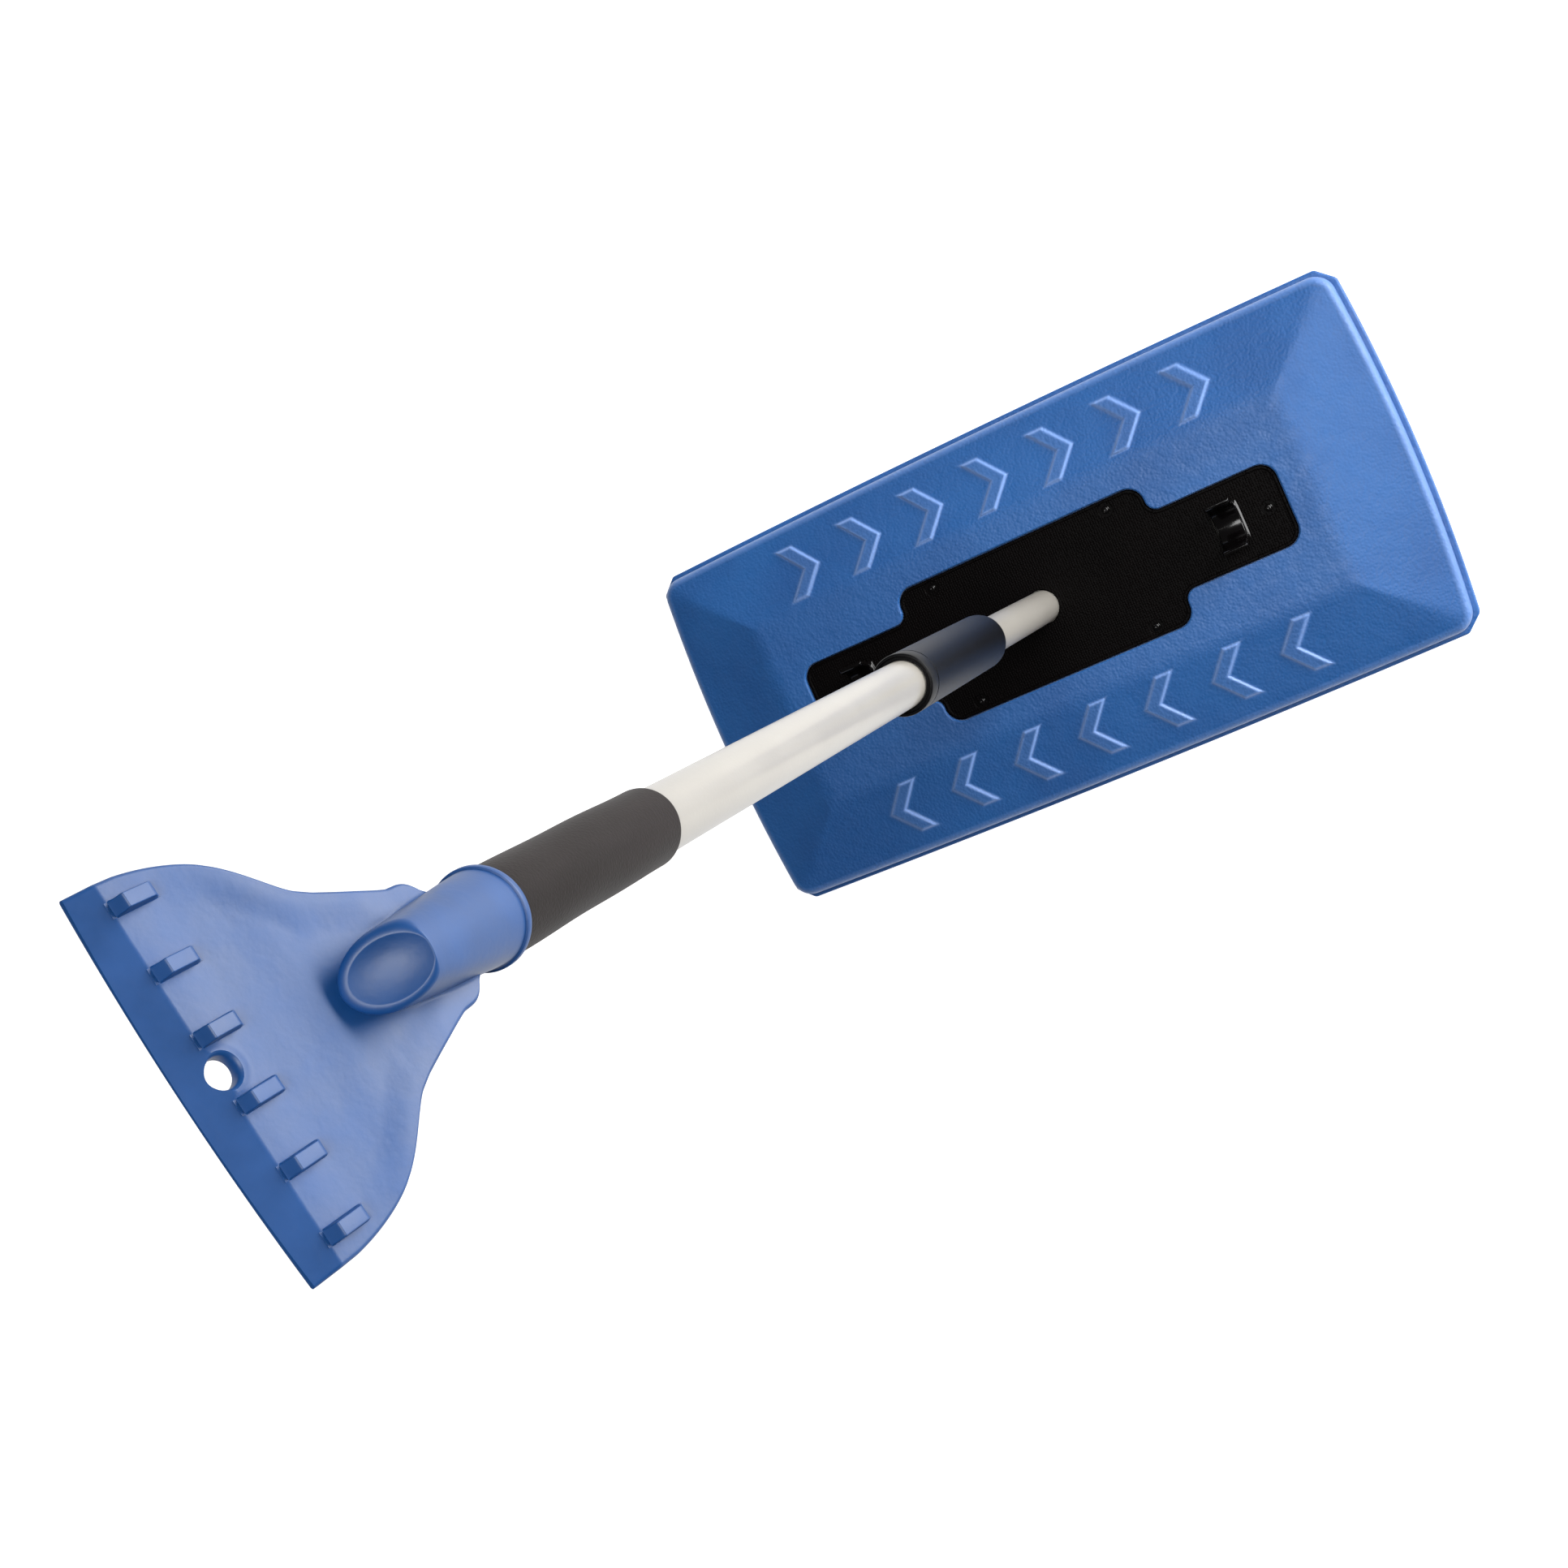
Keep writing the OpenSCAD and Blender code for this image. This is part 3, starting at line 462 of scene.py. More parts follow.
# Polypropylene from a stippled tool: a matt near-black field with round grains 1.5 mm
# apart that each catch a small glint.
stippled, tree, shader, where = finish_of("Stippled black polypropylene", Roughness=0.45,
                                          Specular_IOR_Level=0.06)
grain = add(tree, "TexVoronoi", {"Vector": where, "Scale": 1000 / 1.5, "Randomness": 0.35}, feature="F1")
dust = add(tree, "TexNoise", {"Vector": where, "Scale": 1000 / 35, "Detail": 4})
tone = add(tree, "ValToRGB", {"Fac": dust.outputs[0]})
tone.color_ramp.elements[0].color, tone.color_ramp.elements[1].color = srgb("#010000"), srgb("#070404")
tree.links.new(tone.outputs[0], shader.inputs["Base Color"])
spots = add(tree, "MapRange", {"Value": grain.outputs["Distance"], "From Min": 0.1, "From Max": 0.55,
                               "To Min": 1.0, "To Max": 0.0}, interpolation_type="SMOOTHSTEP")
bumps = add(tree, "Bump", {"Height": spots.outputs[0], "Strength": 0.5, "Distance": 0.00035})
tree.links.new(bumps.outputs[0], shader.inputs["Normal"])
# The same plastic where the tool is polished: glossy, with the faint ripple of flow.
polished, tree, shader, where = finish_of("Polished black polypropylene", Roughness=0.16,
                                          Specular_IOR_Level=0.35)
flow = add(tree, "TexNoise", {"Vector": where, "Scale": 1000 / 9, "Detail": 2})
tone = add(tree, "ValToRGB", {"Fac": flow.outputs[0]})
tone.color_ramp.elements[0].color, tone.color_ramp.elements[1].color = srgb("#030202"), srgb("#0a0809")
tree.links.new(tone.outputs[0], shader.inputs["Base Color"])
ripple = add(tree, "Bump", {"Height": flow.outputs[0], "Strength": 0.15, "Distance": 0.0006})
tree.links.new(ripple.outputs[0], shader.inputs["Normal"])

start = evenly(plate_outline(0), 900)
bearings = np.unwrap(np.arctan2(start[:, 1], start[:, 0]))
rim_levels = ((2.3, 0), (1.9, 0.22), (1.6, 0.3), (0.7, 0.3), (0.3, 0.2), (0.08, -0.05), (0, -0.35), (0, -3.6),
              (0.3, plate_bottom - plate_top))
levels = [(pole_hole, plate_bottom), (pole_hole, plate_top - 0.5), (pole_hole + 0.15, plate_top - 0.15),
          (pole_hole + 0.5, plate_top), (pole_hole + 8, plate_top)]
levels += [(reach(plate_outline(margin), bearings), plate_top + z) for margin, z in rim_levels]
levels += [(hub_radius + 2, plate_bottom), (hub_radius + 0.6, plate_bottom - 0.6),
           (hub_radius, plate_bottom - 2), (hub_radius, face_top), (socket_radius, face_top),
           (socket_radius, socket_roof), (pole_hole, socket_roof)]
plate = make("mount_plate_body", [shell(rings(bearings, levels), wrap=True)], stippled)
seat = [(0.6, plate_bottom - 1), (shank_radius, plate_bottom - 1), (shank_radius, recess_floor),
        (recess_radius, recess_floor), (recess_radius, plate_top - 0.25),
        (recess_radius + 0.5, plate_top + 0.25), (recess_radius + 0.5, plate_top + 4)]
cut(plate, make("cutter", [shell(turned(seat, 64, p), low=True, high=True) for p in rivets], stippled))
smooth_again(plate, stippled, plate_crease)
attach(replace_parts(plate, "mount_plate"), "head")


def clip_shells(side):
    """One clip: a rounded bar section swept along an arc about the stored pole's axis, its two ends
    flared out as lead-ins, and a tapered foot under it."""
    sweep = np.radians(np.linspace(-180 - clip_past, clip_past, 60))
    ends = np.minimum(sweep - sweep[0], sweep[-1] - sweep)
    round_off = 0.8
    corner = np.radians(np.linspace(0, 90, 5))
    quarter = np.stack([clip_wall / 2 - round_off * (1 - np.cos(corner)),
                        clip_half - round_off * (1 - np.sin(corner))], -1)
    section = np.vstack([quarter, quarter[::-1] * (-1, 1), -quarter, quarter[::-1] * (1, -1)])
    taper = np.sqrt(1 - (1 - np.clip(ends / math.radians(5), 0.02, 1)) ** 2)[:, None]
    flare = lead_in * smooth(1 - ends / math.radians(22))[:, None]
    radius = clip_bore + clip_wall / 2 + flare + section[None, :, 0] * taper
    along = side * clip_x + np.broadcast_to(section[None, :, 1] * (0.9 + 0.1 * taper), radius.shape)
    c, s = np.cos(sweep)[:, None], np.sin(sweep)[:, None]
    bar = np.stack([along, radius * c, clip_centre + radius * s], -1)
    block = rounded([(clip_half, -1), (clip_half, 1), (-clip_half, 1), (-clip_half, -1)], [0.6] * 4)
    widths = ((1.6, 12.6, -0.5), (1.4, 12.2, 0.02), (0.6, 11.0, 0.35), (0.2, 10.0, 0.9), (0, 9.2, 1.4))
    foot = np.stack([np.stack([side * clip_x + block[:, 0] * (1 + flange / clip_half), block[:, 1] * half,
                               np.full(len(block), plate_top + z)], -1) for flange, half, z in widths])
    return [shell(bar, low=True, high=True), shell(foot, low=True, high=True)]


clips = make("pole_storage_clips", clip_shells(-1) + clip_shells(1), polished, crease=50)
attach(clips, "head")

# ---------------------------------------------------------------- rivets
# Six black nylon rivets through the plate, the foam and the stiffener, each with a low
# dome sunk in its recess and a small gate dimple, and its tail formed over a washer.
rivet_radius, head_radius, head_edge, dome_rise = 1.6, 2.35, recess_floor + 0.25, 0.85
tail_foot, tail_top, tail_radius = 6.8, 8.0, 2.4
dome = np.radians(np.linspace(0, 70, 8))
profile = [(0.4, tail_foot), (tail_radius - 0.2, tail_foot), (tail_radius, tail_foot + 0.2),
           (tail_radius, tail_top), (rivet_radius, tail_top), (rivet_radius, recess_floor),
           (head_radius, recess_floor), (head_radius, head_edge)]
profile += [(0.45 + 1.9 * math.cos(a), head_edge + dome_rise * math.sin(a)) for a in dome]
profile += [(0.8, head_edge + 0.8), (0.55, head_edge + 0.55), (0.2, head_edge + 0.5)]
studs = make("plate_rivet_set", [shell(turned(profile, 40, place), low=True, high=True) for place in rivets],
             polished, crease=40)
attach(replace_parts(studs, "plate_rivets"), "head")

# ---------------------------------------------------------------- tubes
# Two drawn steel tubes that slide one in the other: the lower one is 20 mm across and the
# upper one 22 mm, both powder coated in a warm light grey.
# Powder coat: an even semi-gloss with a faint orange peel a couple of millimetres across.
coated, tree, shader, where = finish_of("Powder-coated steel tube", Coat_Weight=0.25, Coat_Roughness=0.18)
peel = add(tree, "TexNoise", {"Vector": where, "Scale": 1000 / 1.8, "Detail": 2})
haze = add(tree, "TexNoise", {"Vector": where, "Scale": 1000 / 45, "Detail": 3})
tone = add(tree, "ValToRGB", {"Fac": haze.outputs[0]})
tone.color_ramp.elements[0].position, tone.color_ramp.elements[1].position = 0.1, 0.9
tone.color_ramp.elements[0].color, tone.color_ramp.elements[1].color = srgb("#98938b"), srgb("#a7a39b")
tree.links.new(tone.outputs[0], shader.inputs["Base Color"])
gloss = add(tree, "MapRange", {"Value": haze.outputs[0], "From Min": 0.1, "From Max": 0.9,
                               "To Min": 0.25, "To Max": 0.37})
tree.links.new(gloss.outputs[0], shader.inputs["Roughness"])
skin = add(tree, "Bump", {"Height": peel.outputs[0], "Strength": 0.12, "Distance": 0.0002})
tree.links.new(skin.outputs[0], shader.inputs["Normal"])

tube_wall, tube_soft = 0.75, 0.15
for node, name, body in (("inner_tube", "lower_tube", "lower_pole"),
                         ("outer_tube", "upper_tube", "upper_pole")):
    low, high = span(node)
    r, foot, head, soft = high[0], low[2], high[2], tube_soft
    bore = r - tube_wall
    section = [(r - soft, foot), (r, foot + soft), *((r, z) for z in np.linspace(foot + 6, head - 6, 24)),
               (r, head - soft), (r - soft, head), (bore + soft, head), (bore, head - soft),
               (bore, foot + soft), (bore + soft, foot)]
    tube = make(name, [shell(turned(section, 160), wrap=True)], coated, crease=50)
    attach(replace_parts(tube, node), body)

# ---------------------------------------------------------------- lock collar
# The twist-lock collar on the upper tube's lower end: glass-filled nylon, moulded with a
# satin skin, a rounded foot round the lower tube and an open mouth round the upper one.
# Satin nylon: dark charcoal with a broad soft shine and the finest spark texture.
satin, tree, shader, where = finish_of("Satin charcoal nylon", Roughness=0.4, Specular_IOR_Level=0.14)
spark = add(tree, "TexNoise", {"Vector": where, "Scale": 1000 / 0.9, "Detail": 3})
cast = add(tree, "TexNoise", {"Vector": where, "Scale": 1000 / 25, "Detail": 3})
tone = add(tree, "ValToRGB", {"Fac": cast.outputs[0]})
tone.color_ramp.elements[0].color, tone.color_ramp.elements[1].color = srgb("#060608"), srgb("#0b0b0e")
tree.links.new(tone.outputs[0], shader.inputs["Base Color"])
skin = add(tree, "Bump", {"Height": spark.outputs[0], "Strength": 0.25, "Distance": 0.00015})
tree.links.new(skin.outputs[0], shader.inputs["Normal"])

low, high = span("lock_collar")
r, foot, mouth, tube_r = high[0], low[2], high[2], span("outer_tube")[1][0]
turn = np.radians(np.linspace(-80, 0, 9))
foot_hole, foot_round, bush_bore, line_depth, tube_fit = 10.4, 5, 11.4, 0.35, tube_r + 0.05
tube_stop = span("outer_tube")[0][2]
section = [(foot_hole, foot + 3), (foot_hole, foot + 0.4), (foot_hole + 0.3, foot)]
section += [(r - foot_round * (1 - math.cos(a)), foot + foot_round * (1 + math.sin(a))) for a in turn]
section += [(r, z) for z in np.linspace(foot + 20, mouth - 16, 10)]
section += [(r, mouth - 12.4), (r - line_depth, mouth - 12.1), (r - line_depth, mouth - 11.5),
            (r, mouth - 11.2), (r, mouth - 0.9), (r - 0.25, mouth - 0.3), (r - 0.8, mouth),
            (r - 1.3, mouth - 0.1), (r - 1.6, mouth - 0.6), (r - 1.7, mouth - 2.5), (tube_fit, mouth - 2.6)]
section += [(tube_fit, tube_stop), (bush_bore, tube_stop), (bush_bore, foot + 3)]
collar = make("twist_lock_collar", [shell(turned(section, 128), wrap=True)], satin, crease=40)
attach(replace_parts(collar, "lock_collar"), "upper_pole")

# ---------------------------------------------------------------- grip
# The handle: a sleeve of nitrile foam rubber, slit from a long tube, pulled over the upper
# tube and pushed up against the scraper's flange.
# Foam rubber: matt warm charcoal, with skin pores about half a millimetre across drawn
# twice as coarse, and a faint bloom where the light grazes it.
grip_foam, tree, shader, where = finish_of("Nitrile foam grip", Roughness=0.62, Specular_IOR_Level=0.12,
                                           Sheen_Weight=0.04, Sheen_Roughness=0.4)
pores = add(tree, "TexVoronoi", {"Vector": where, "Scale": 1000 / 1.0, "Randomness": 1.0}, feature="F1")
drag = add(tree, "Mapping", {"Vector": where, "Scale": (1, 1, 0.25)})
streak = add(tree, "TexNoise", {"Vector": drag.outputs[0], "Scale": 1000 / 14, "Detail": 4})
tone = add(tree, "ValToRGB", {"Fac": streak.outputs[0]})
tone.color_ramp.elements[0].position, tone.color_ramp.elements[1].position = 0.3, 0.7
tone.color_ramp.elements[0].color, tone.color_ramp.elements[1].color = srgb("#1d1816"), srgb("#272120")
tree.links.new(tone.outputs[0], shader.inputs["Base Color"])
pit = add(tree, "Bump", {"Height": pores.outputs["Distance"], "Strength": 0.25, "Distance": 0.0003})
swell = add(tree, "Bump", {"Height": streak.outputs[0], "Normal": pit.outputs[0],
                           "Strength": 0.2, "Distance": 0.0008})
tree.links.new(swell.outputs[0], shader.inputs["Normal"])

low, high = span("grip_sleeve")
r, foot, head = high[0], low[2], high[2]
turn, end_round = np.radians(np.linspace(-90, 0, 8)), 1.5
section = [(tube_r, foot + 0.6), (tube_r + 0.15, foot + 0.1)]
section += [(r - end_round * (1 - math.cos(a)), foot + end_round * (1 + math.sin(a))) for a in turn]
section += [(r, z) for z in np.linspace(foot + 3, head - 1.6, 70)]
section += [(r - 0.1, head - 0.7), (r - 0.45, head - 0.15), (r - 0.9, head), (tube_r, head)]
grid = turned(section, 144)
x, y, z = grid[..., 0], grid[..., 1], grid[..., 2]
from_axis, angle = np.hypot(x, y), np.arctan2(y, x)
# The sleeve gives under the hand: its outside waves by a tenth of a millimetre, its bore does not.
outside = smooth((from_axis - tube_r - 0.9) / 0.6)
give = 0.09 * (np.sin(z / 9 + 2 * angle) + np.sin(z / 17 - 3 * angle + 1)) * outside
grid[..., :2] *= (1 + give / from_axis)[..., None]
grip = make("foam_grip", [shell(grid, wrap=True)], grip_foam, crease=60)
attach(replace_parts(grip, "grip_sleeve"), "upper_pole")

# ---------------------------------------------------------------- ice scraper
# The scraper: one moulding in a tough blue polycarbonate blend. A flanged stem takes the
# tube and ends in a thumb dish, and a fan leans back from it to a bevelled blade with six
# ice-breaking teeth and a hanging hole. One screw at the back holds it.
turn_on_pole, rake = math.radians(10), math.radians(20)
flange_foot, socket_top = span("ice_scraper")[0][2], span("outer_tube")[1][2]
stem_r, flange_r, socket_r, flange_top = 13.5, 14.3, 11.15, flange_foot + 2.5
fan_root, rim_height, rim_slope = flange_foot + 28, flange_foot + 50.5, math.tan(math.radians(24))
nose_centre, nose_oval, nose_taper, nose_ease = 2.5, 1.26, 0.068, 0.8
dish_centre, dish_half, dish_turn, dish_depth = (3.6, 0.3), (9.9, 7.6), math.radians(-6), 1.7
fan_thick, blade_half, blade_reach, bevel_depth, blade_edge, blade_bow = 4.5, 51.0, 78.6, 8.6, 0.9, 1.7
tooth_pitch, tooth_at, tooth_half_length, tooth_half_width = 17.4, 63.6, 6.0, 2.05
teeth_count, tooth_crest, tooth_high, tooth_ramp, tooth_sink = 6, 4.2, 4.4, 0.19, 1.2
hole_at, hole_r, rib_rise, scraper_crease = 68.6, 4.0, 0.6, 38
bevel_line, bevel_fall = blade_reach - bevel_depth, (fan_thick - blade_edge) / bevel_depth


def pulled(a, b, c, d, count):
    """Points of a cubic curve from a to d, pulled towards b and c: the four weighted by s cubed, three
    s squared t, three s t squared and t cubed, where s is one minus t."""
    t = np.linspace(0, 1, count)[:, None]
    s = 1 - t
    a, b, c, d = np.array([a, b, c, d])
    return s ** 3 * a + 3 * s * s * t * b + 3 * s * t * t * c + t ** 3 * d


# One side of the fan, as half widths and distances along it, from its foot behind the stem.
fan_foot = -8.5
fan_side = np.vstack([
    [(11, fan_foot)],
    pulled((13.2, -7), (15.4, -5.4), (17.6, -4.2), (17.8, -0.4), 24),
    pulled((18, 2.1), (20.4, 9), (23, 15), (26, 21.8), 30),
    pulled((28.4, 26), (31, 29.8), (blade_half - 13, 35.2), (blade_half - 8.5, 41.5), 30),
    pulled((blade_half - 7.7, 42.7), (blade_half - 4.6, 47), (blade_half - 1.6, 55),
           (blade_half - 0.5, blade_reach - 13.8), 30),
    [(blade_half, blade_reach - blade_bow)]])


def turned_on_pole(x, y, z):
    """Points of the scraper's own frame, turned on the pole by the usual sine and cosine."""
    c, s = math.cos(turn_on_pole), math.sin(turn_on_pole)
    return np.stack([x * c - y * s, x * s + y * c, z], -1)


def on_pole(across, along, out):
    """Moves points from the fan's own frame to the broom: out from its front face, leaned back by the
    rake, lifted to the fan's root and turned on the pole."""
    c, s = math.cos(rake), math.sin(rake)
    return turned_on_pole(out * c - along * s, across, fan_root + out * s + along * c)


def oval_reach(c, s, centre, half):
    """How far an oval lies from the pole's axis on the bearing with cosine c and sine s: the larger
    root r of ((r c - centre) / half x) squared plus (r s / half y) squared equals 1."""
    a, b = (c / half[0]) ** 2 + (s / half[1]) ** 2, c * centre / half[0] ** 2
    return (b + np.sqrt(b * b - a * ((centre / half[0]) ** 2 - 1))) / a


def stem_reach(c, s, z):
    """The stem's radius on a bearing at a height: the smaller of its round foot's and its tapering
    oval nose's, with the meeting of the two eased over 0.8 mm either way."""
    b = stem_r - nose_taper * np.maximum(z - flange_top, 0)
    nose = oval_reach(c, s, nose_centre, (nose_oval * b, b))
    h = np.clip(0.5 + (nose - stem_r) / (2 * nose_ease), 0, 1)
    return nose + (stem_r - nose) * h - nose_ease * h * (1 - h)


def fan_front(across, along, edge):
    """Height of the fan's front face: a soft rib along each side that fades towards the blade, a
    fillet up to the stem, a low swelling round the hole, a faint hollow before the teeth, and all of
    it cut down by the bevel's plane. Edge is the distance in from the side."""
    rib = rib_rise * (1 - smooth((edge - 1.5) / 9))
    rib *= smooth((along - 2) / 10) * (1 - smooth((along - 34) / 22))
    x, z = -along * math.sin(rake), fan_root + along * math.cos(rake)
    r = np.maximum(np.hypot(x, across), 0.01)
    gap = r - stem_reach(x / r, across / r, z)
    fillet_rise = 0.15 + 0.8 * smooth((22 - along) / 14)
    fillet = fillet_rise * np.clip(1 - gap / 2.2, 0, 1) ** 2 * smooth((gap + 1) / 0.9)
    swelling = 0.6 * (1 - smooth((np.hypot(across, along - hole_at) - 4.3) / 3.4))
    hollow = -0.3 * smooth((along - 36) / 12) * smooth((bevel_line - 3 - along) / 12) * smooth(edge / 14)
    return np.minimum(np.maximum(rib, fillet) + swelling + hollow, bevel_fall * (bevel_line - along))


fine = 1
behind, before = np.linspace(fan_foot, 1, 26)[::fine], np.linspace(1, bevel_line, 116)[1::fine]
along = np.unique(np.r_[behind, before, bevel_line])
bevel = np.linspace(0, 1, 13)[1:]
levels = np.r_[along, bevel_line + bevel * bevel_depth, blade_reach + 0.1]
even = np.linspace(-1, 1, 141)[::fine]
spread = 0.35 * np.sin(even * np.pi / 2) + 0.65 * even
half = np.interp(levels, fan_side[:, 1], fan_side[:, 0])
lean = np.gradient(half, levels)
across = spread[None] * np.ones((len(levels), 1))
past_bevel = np.clip((levels - bevel_line) / bevel_depth, 0, 1)[:, None]
height = levels[:, None] - blade_bow * across ** 2 * past_bevel
edge = (half[:, None] * (1 - abs(across))) / np.sqrt(1 + lean[:, None] ** 2)
thickness = fan_thick - bevel_fall * np.clip(height[:, :1] - bevel_line, 0, bevel_depth)
round_off = np.minimum(1.1, 0.46 * thickness)
round_off[-1] = 0.02
front = fan_front(across * half[:, None], height, edge)
back = np.full_like(front, -fan_thick) + 0.5 * (1 - smooth(edge / 3.5)) * (1 - past_bevel)
front[-1] = back[-1] = (front[-2] + back[-2]) / 2
bend = np.radians(np.linspace(90, 0, 7))[1:]
flat = across * (half[:, None] - round_off)
side_v = half[:, None] - round_off * (1 - np.cos(bend))[None]
front_side = front[:, -1:] - round_off * (1 - np.sin(bend))[None]
back_side = back[:, -1:] + round_off * (1 - np.sin(bend))[None]
side_height = np.repeat(height[:, -1:], len(bend), 1)
ring_across = np.hstack([flat, side_v, side_v[:, ::-1], flat[:, ::-1], -side_v, -side_v[:, ::-1]])
ring_along = np.hstack([height, side_height, side_height, height[:, ::-1], side_height, side_height])
ring_out = np.hstack([front, front_side, back_side[:, ::-1], back[:, ::-1], back_side, front_side[:, ::-1]])
fan = shell(on_pole(ring_across, ring_along, ring_out), low=True)

# The blue plastic: a satin moulding with a faintly mottled skin from its etched tool, and
# paler clouds where the melt cooled unevenly.
scraper_blue, tree, shader, where = finish_of("Satin blue polycarbonate blend", Specular_IOR_Level=0.6)
cloud = add(tree, "TexNoise", {"Vector": where, "Scale": 1000 / 22, "Detail": 5, "Roughness": 0.6})
speck = add(tree, "TexNoise", {"Vector": where, "Scale": 1000 / 2.2, "Detail": 3})
tone = add(tree, "ValToRGB", {"Fac": cloud.outputs[0]})
tone.color_ramp.elements[0].position, tone.color_ramp.elements[1].position = 0.3, 0.72
tone.color_ramp.elements[0].color, tone.color_ramp.elements[1].color = srgb("#0a4079"), srgb("#104a8a")
tree.links.new(tone.outputs[0], shader.inputs["Base Color"])
gloss = add(tree, "MapRange", {"Value": cloud.outputs[0], "From Min": 0.3, "From Max": 0.7,
                               "To Min": 0.42, "To Max": 0.5})
tree.links.new(gloss.outputs[0], shader.inputs["Roughness"])
mottle = add(tree, "Bump", {"Height": speck.outputs[0], "Strength": 0.18, "Distance": 0.0002})
sag = add(tree, "Bump", {"Height": cloud.outputs[0], "Normal": mottle.outputs[0],
                         "Strength": 0.2, "Distance": 0.0012})
tree.links.new(sag.outputs[0], shader.inputs["Normal"])

scraper = make("ice_scraper_body", [fan], scraper_blue)
bore = [(0.5, -9), (hole_r + 0.9, -9), (hole_r + 0.9, -fan_thick - 0.1), (hole_r + 0.35, -fan_thick + 0.25),
        (hole_r, -fan_thick + 0.9), (hole_r, -0.8), (hole_r + 0.2, -0.25), (hole_r + 0.6, 0.25),
        (hole_r + 1.3, 0.72), (hole_r + 1.3, 6), (0.5, 6)]
circle = np.linspace(0, 2 * np.pi, 72, endpoint=False)
punch = np.stack([on_pole(r * np.cos(circle), hole_at + r * np.sin(circle), np.full(72, n)) for r, n in bore])
cut(scraper, make("cutter", [shell(punch, low=True, high=True)], scraper_blue))


def stem_grid(count=160):
    """The stem as rings from the socket's roof, down its bore, round the flange, up the outside and
    over a rounded shoulder to the edge of an oval dish, a bowl below the rim's slanted plane."""
    a = np.linspace(0, 2 * np.pi, count, endpoint=False)
    c, s = np.cos(a), np.sin(a)

    def slant(x):
        """Height of the rim's plane: it climbs away from the front."""
        return rim_height + rim_slope * (stem_r - x)

    rows = [(r * c, r * s, z + 0 * c) for r, z in (
        (4, socket_top), (socket_r, socket_top), (socket_r, flange_foot + 0.5), (socket_r + 0.4, flange_foot),
        (flange_r - 0.6, flange_foot), (flange_r - 0.2, flange_foot + 0.15), (flange_r, flange_foot + 0.6),
        (flange_r, flange_top - 0.6), (flange_r - 0.15, flange_top - 0.15), (flange_r - 0.45, flange_top),
        (stem_r + 0.1, flange_top + 0.02), (stem_r - 0.05, flange_top + 0.25))]
    for z in flange_top + np.array([0.8, 2, 5, 9, 13, 17, 21, 25, 29, 33, 37]):
        r = stem_reach(c, s, z)
        rows.append((r * c, r * s, z + 0 * c))
    c_lip, s_lip = np.cos(a - dish_turn), np.sin(a - dish_turn)
    lip = np.minimum(oval_reach(c_lip, s_lip, dish_centre[0], dish_half), stem_r - 0.25)
    foot, r = rows[-1][2], stem_reach(c, s, rim_height)
    for t in np.linspace(0, 1, 7)[1:]:
        # The slanted rim's height and the stem's radius there settle each other in a few rounds.
        for _ in range(4):
            shoulder = 0.9 * np.maximum(r - lip, 0.2)
            z = foot + t * (slant(r * c) - shoulder - foot)
            r = stem_reach(c, s, z)
        rows.append((r * c, r * s, z))
    for bend in np.radians(np.linspace(0, 90, 12))[1:]:
        at = r + (lip - r) * (1 - math.cos(bend))
        rows.append((at * c, at * s, slant(at * c) - shoulder * (1 - math.sin(bend))))
    for q in np.sqrt(np.linspace(1, 0.0004, 26))[1:]:
        x, y = (centre + (rim - centre) * q for centre, rim in zip(dish_centre, (lip * c, lip * s)))
        rows.append((x, y, slant(x) - dish_depth * (1 - q * q)))
    return turned_on_pole(*(np.stack([row[i] for row in rows]) for i in range(3)))


stem = make("scraper_stem", [shell(stem_grid(), low=True, high=True)], scraper_blue)
screw_z, screw_hole, seat_face, seat_r = sum(span("scraper_screw"))[2] / 2, 1.55, stem_r - 1, 3.1
circle = np.linspace(0, 2 * np.pi, 48, endpoint=False)
steps = ((0.4, 8), (screw_hole, 8), (screw_hole, seat_face), (seat_r, seat_face), (seat_r, stem_r - 0.15),
         (seat_r + 0.4, stem_r + 0.25), (seat_r + 0.4, stem_r + 3.5), (0.4, stem_r + 3.5))
drill = np.stack([turned_on_pole(np.full(48, -out), r * np.cos(circle), screw_z + r * np.sin(circle))
                  for r, out in steps])
cut(stem, make("cutter", [shell(drill, low=True, high=True)], scraper_blue))


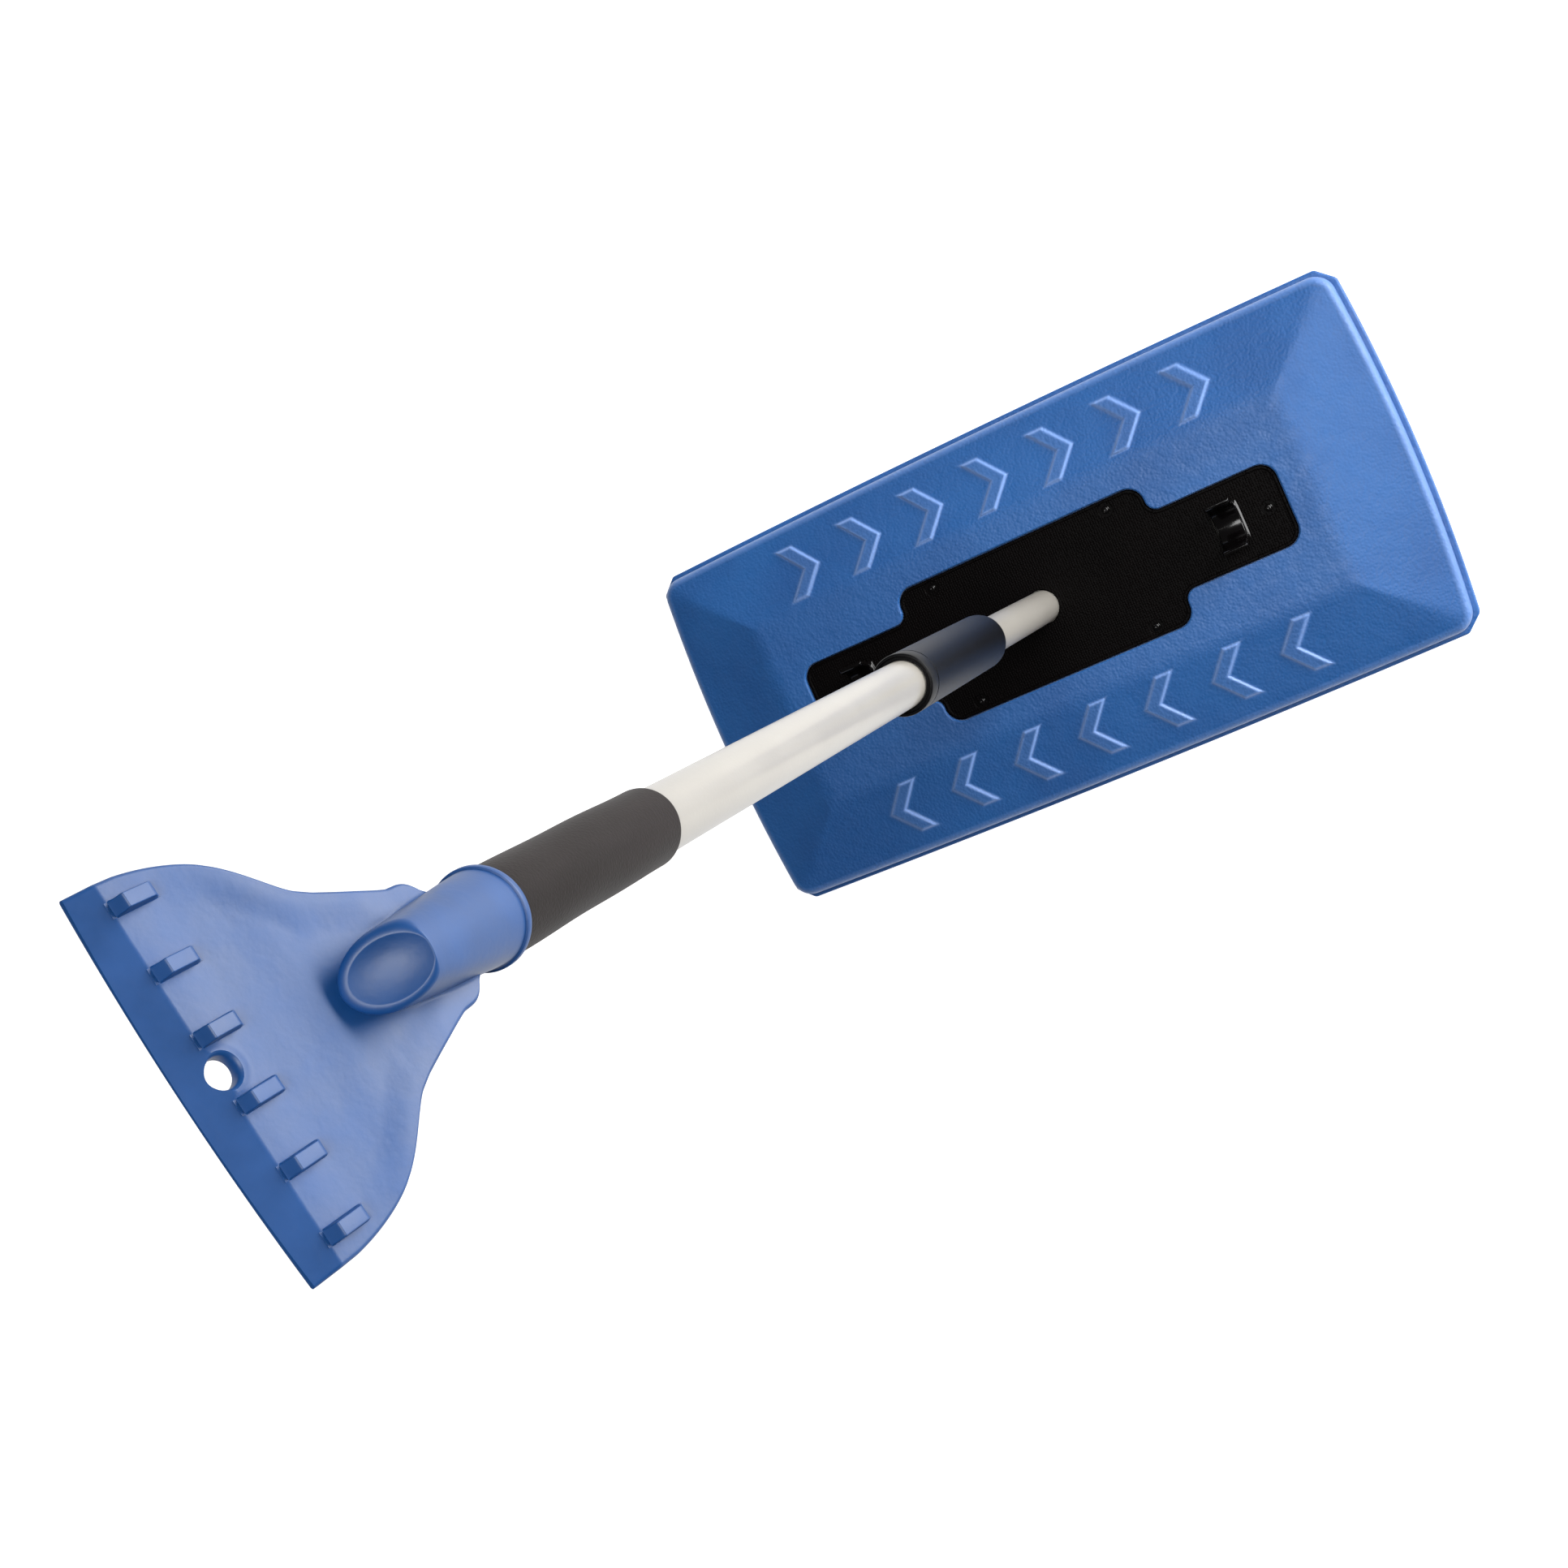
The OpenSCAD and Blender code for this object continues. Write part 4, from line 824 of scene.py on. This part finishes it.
def tooth_shell(place):
    """One tooth: a bar section with crisp corners and a filleted foot, carried up a steep back, along
    a low ramp to a crest and down a steep front. The crest is the smaller of ramp and front, eased."""
    t = np.r_[np.linspace(-tooth_half_length - 0.7, tooth_crest - 0.9, 20),
              tooth_crest + np.linspace(-0.6, 0.6, 7),
              np.linspace(tooth_crest + 0.9, tooth_half_length + 0.9, 9)]
    ramp = np.minimum(tooth_high - tooth_ramp * (tooth_crest - t), 1.6 * (t + tooth_half_length))
    front = tooth_high * (tooth_half_length - t) / (tooth_half_length - tooth_crest)
    h = np.clip(0.5 + (front - ramp) / 1.2, 0, 1)
    rise = np.maximum(front + (ramp - front) * h - 0.6 * h * (1 - h), 0.05)[:, None]
    bend = np.radians(np.linspace(0, 90, 5))
    soft = np.minimum(0.35, rise * 0.5)
    full = np.minimum(1, rise)
    foot_half = tooth_half_width + np.array([0.4, 0.2, 0.06, 0.0])[None] * full
    foot_out = np.hstack([np.full_like(rise, -tooth_sink), 0.05 * full, 0.18 * full,
                          np.minimum(0.45, rise * 0.4)])
    top_half = tooth_half_width - 0.15 - soft * (1 - np.cos(bend))[None]
    top_out = rise - soft * (1 - np.sin(bend))[None]
    half, out = np.hstack([foot_half, top_half]), np.hstack([foot_out, top_out])
    across, out = np.hstack([half, -half[:, ::-1]]), np.hstack([out, out[:, ::-1]])
    along = tooth_at + np.repeat(t[:, None], across.shape[1], 1)
    return shell(on_pole(place + across, along, out), low=True, high=True)


places = (np.arange(teeth_count) - (teeth_count - 1) / 2) * tooth_pitch
teeth = make("scraper_teeth", [tooth_shell(place) for place in places], scraper_blue)
whole = bmesh.new()
for part in (scraper, stem, teeth):
    whole.from_mesh(part.data)
bmesh.ops.remove_doubles(whole, verts=whole.verts, dist=1e-7)
whole.to_mesh(scraper.data)
whole.free()
for part in (stem, teeth):
    bpy.data.objects.remove(part)
smooth_again(scraper, scraper_blue, scraper_crease)
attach(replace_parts(scraper, "ice_scraper"), "upper_pole")

# ---------------------------------------------------------------- inside parts
# What the assembly hides: the stiffener and the threaded tip in black polypropylene, the
# bush, disc, insert and cam in pale nylon, the washers, pins and screws in zinc-plated
# steel, and the rubber washer that the tip tightens on.
# Pale nylon: slightly waxy off-white with faint flow clouds.
nylon, tree, shader, where = finish_of("Pale nylon moulding", Roughness=0.38, Specular_IOR_Level=0.5)
cloud = add(tree, "TexNoise", {"Vector": where, "Scale": 1000 / 12, "Detail": 3})
tone = add(tree, "ValToRGB", {"Fac": cloud.outputs[0]})
tone.color_ramp.elements[0].color, tone.color_ramp.elements[1].color = srgb("#dcd8c8"), srgb("#ece9de")
tree.links.new(tone.outputs[0], shader.inputs["Base Color"])
skin = add(tree, "Bump", {"Height": cloud.outputs[0], "Strength": 0.1, "Distance": 0.0005})
tree.links.new(skin.outputs[0], shader.inputs["Normal"])
# Zinc plate: a bright slightly blue metal with a fine crystalline cloud.
zinc, tree, shader, where = finish_of("Zinc-plated steel", Metallic=1.0, Roughness=0.32)
cloud = add(tree, "TexNoise", {"Vector": where, "Scale": 1000 / 1.5, "Detail": 3})
tone = add(tree, "ValToRGB", {"Fac": cloud.outputs[0]})
tone.color_ramp.elements[0].color, tone.color_ramp.elements[1].color = srgb("#a8adb4"), srgb("#cfd3d8")
tree.links.new(tone.outputs[0], shader.inputs["Base Color"])
gloss = add(tree, "MapRange", {"Value": cloud.outputs[0], "To Min": 0.25, "To Max": 0.42})
tree.links.new(gloss.outputs[0], shader.inputs["Roughness"])
# Moulded rubber: matt black with a dusty cast.
rubber, tree, shader, where = finish_of("Moulded black rubber", Roughness=0.75, Specular_IOR_Level=0.3)
cloud = add(tree, "TexNoise", {"Vector": where, "Scale": 1000 / 3, "Detail": 3})
tone = add(tree, "ValToRGB", {"Fac": cloud.outputs[0]})
tone.color_ramp.elements[0].color, tone.color_ramp.elements[1].color = srgb("#0c0c0c"), srgb("#1b1a19")
tree.links.new(tone.outputs[0], shader.inputs["Base Color"])

for finish, nodes in ((stippled, ("stiffener_plate",)),
                      (polished, ("thread_tip", "spindle_plug", "end_plug")),
                      (nylon, ("thread_insert", "cam_ring", "guide_disc", "slide_bush")),
                      (zinc, ("rivet_washers", "tip_pin", "plug_pin", "spindle_screw", "scraper_screw")),
                      (rubber, ("seal_washer",))):
    for node in nodes:
        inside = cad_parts[node]
        if not inside.material_slots:
            inside.data.materials.append(finish)
        for place in inside.material_slots:
            place.material = finish
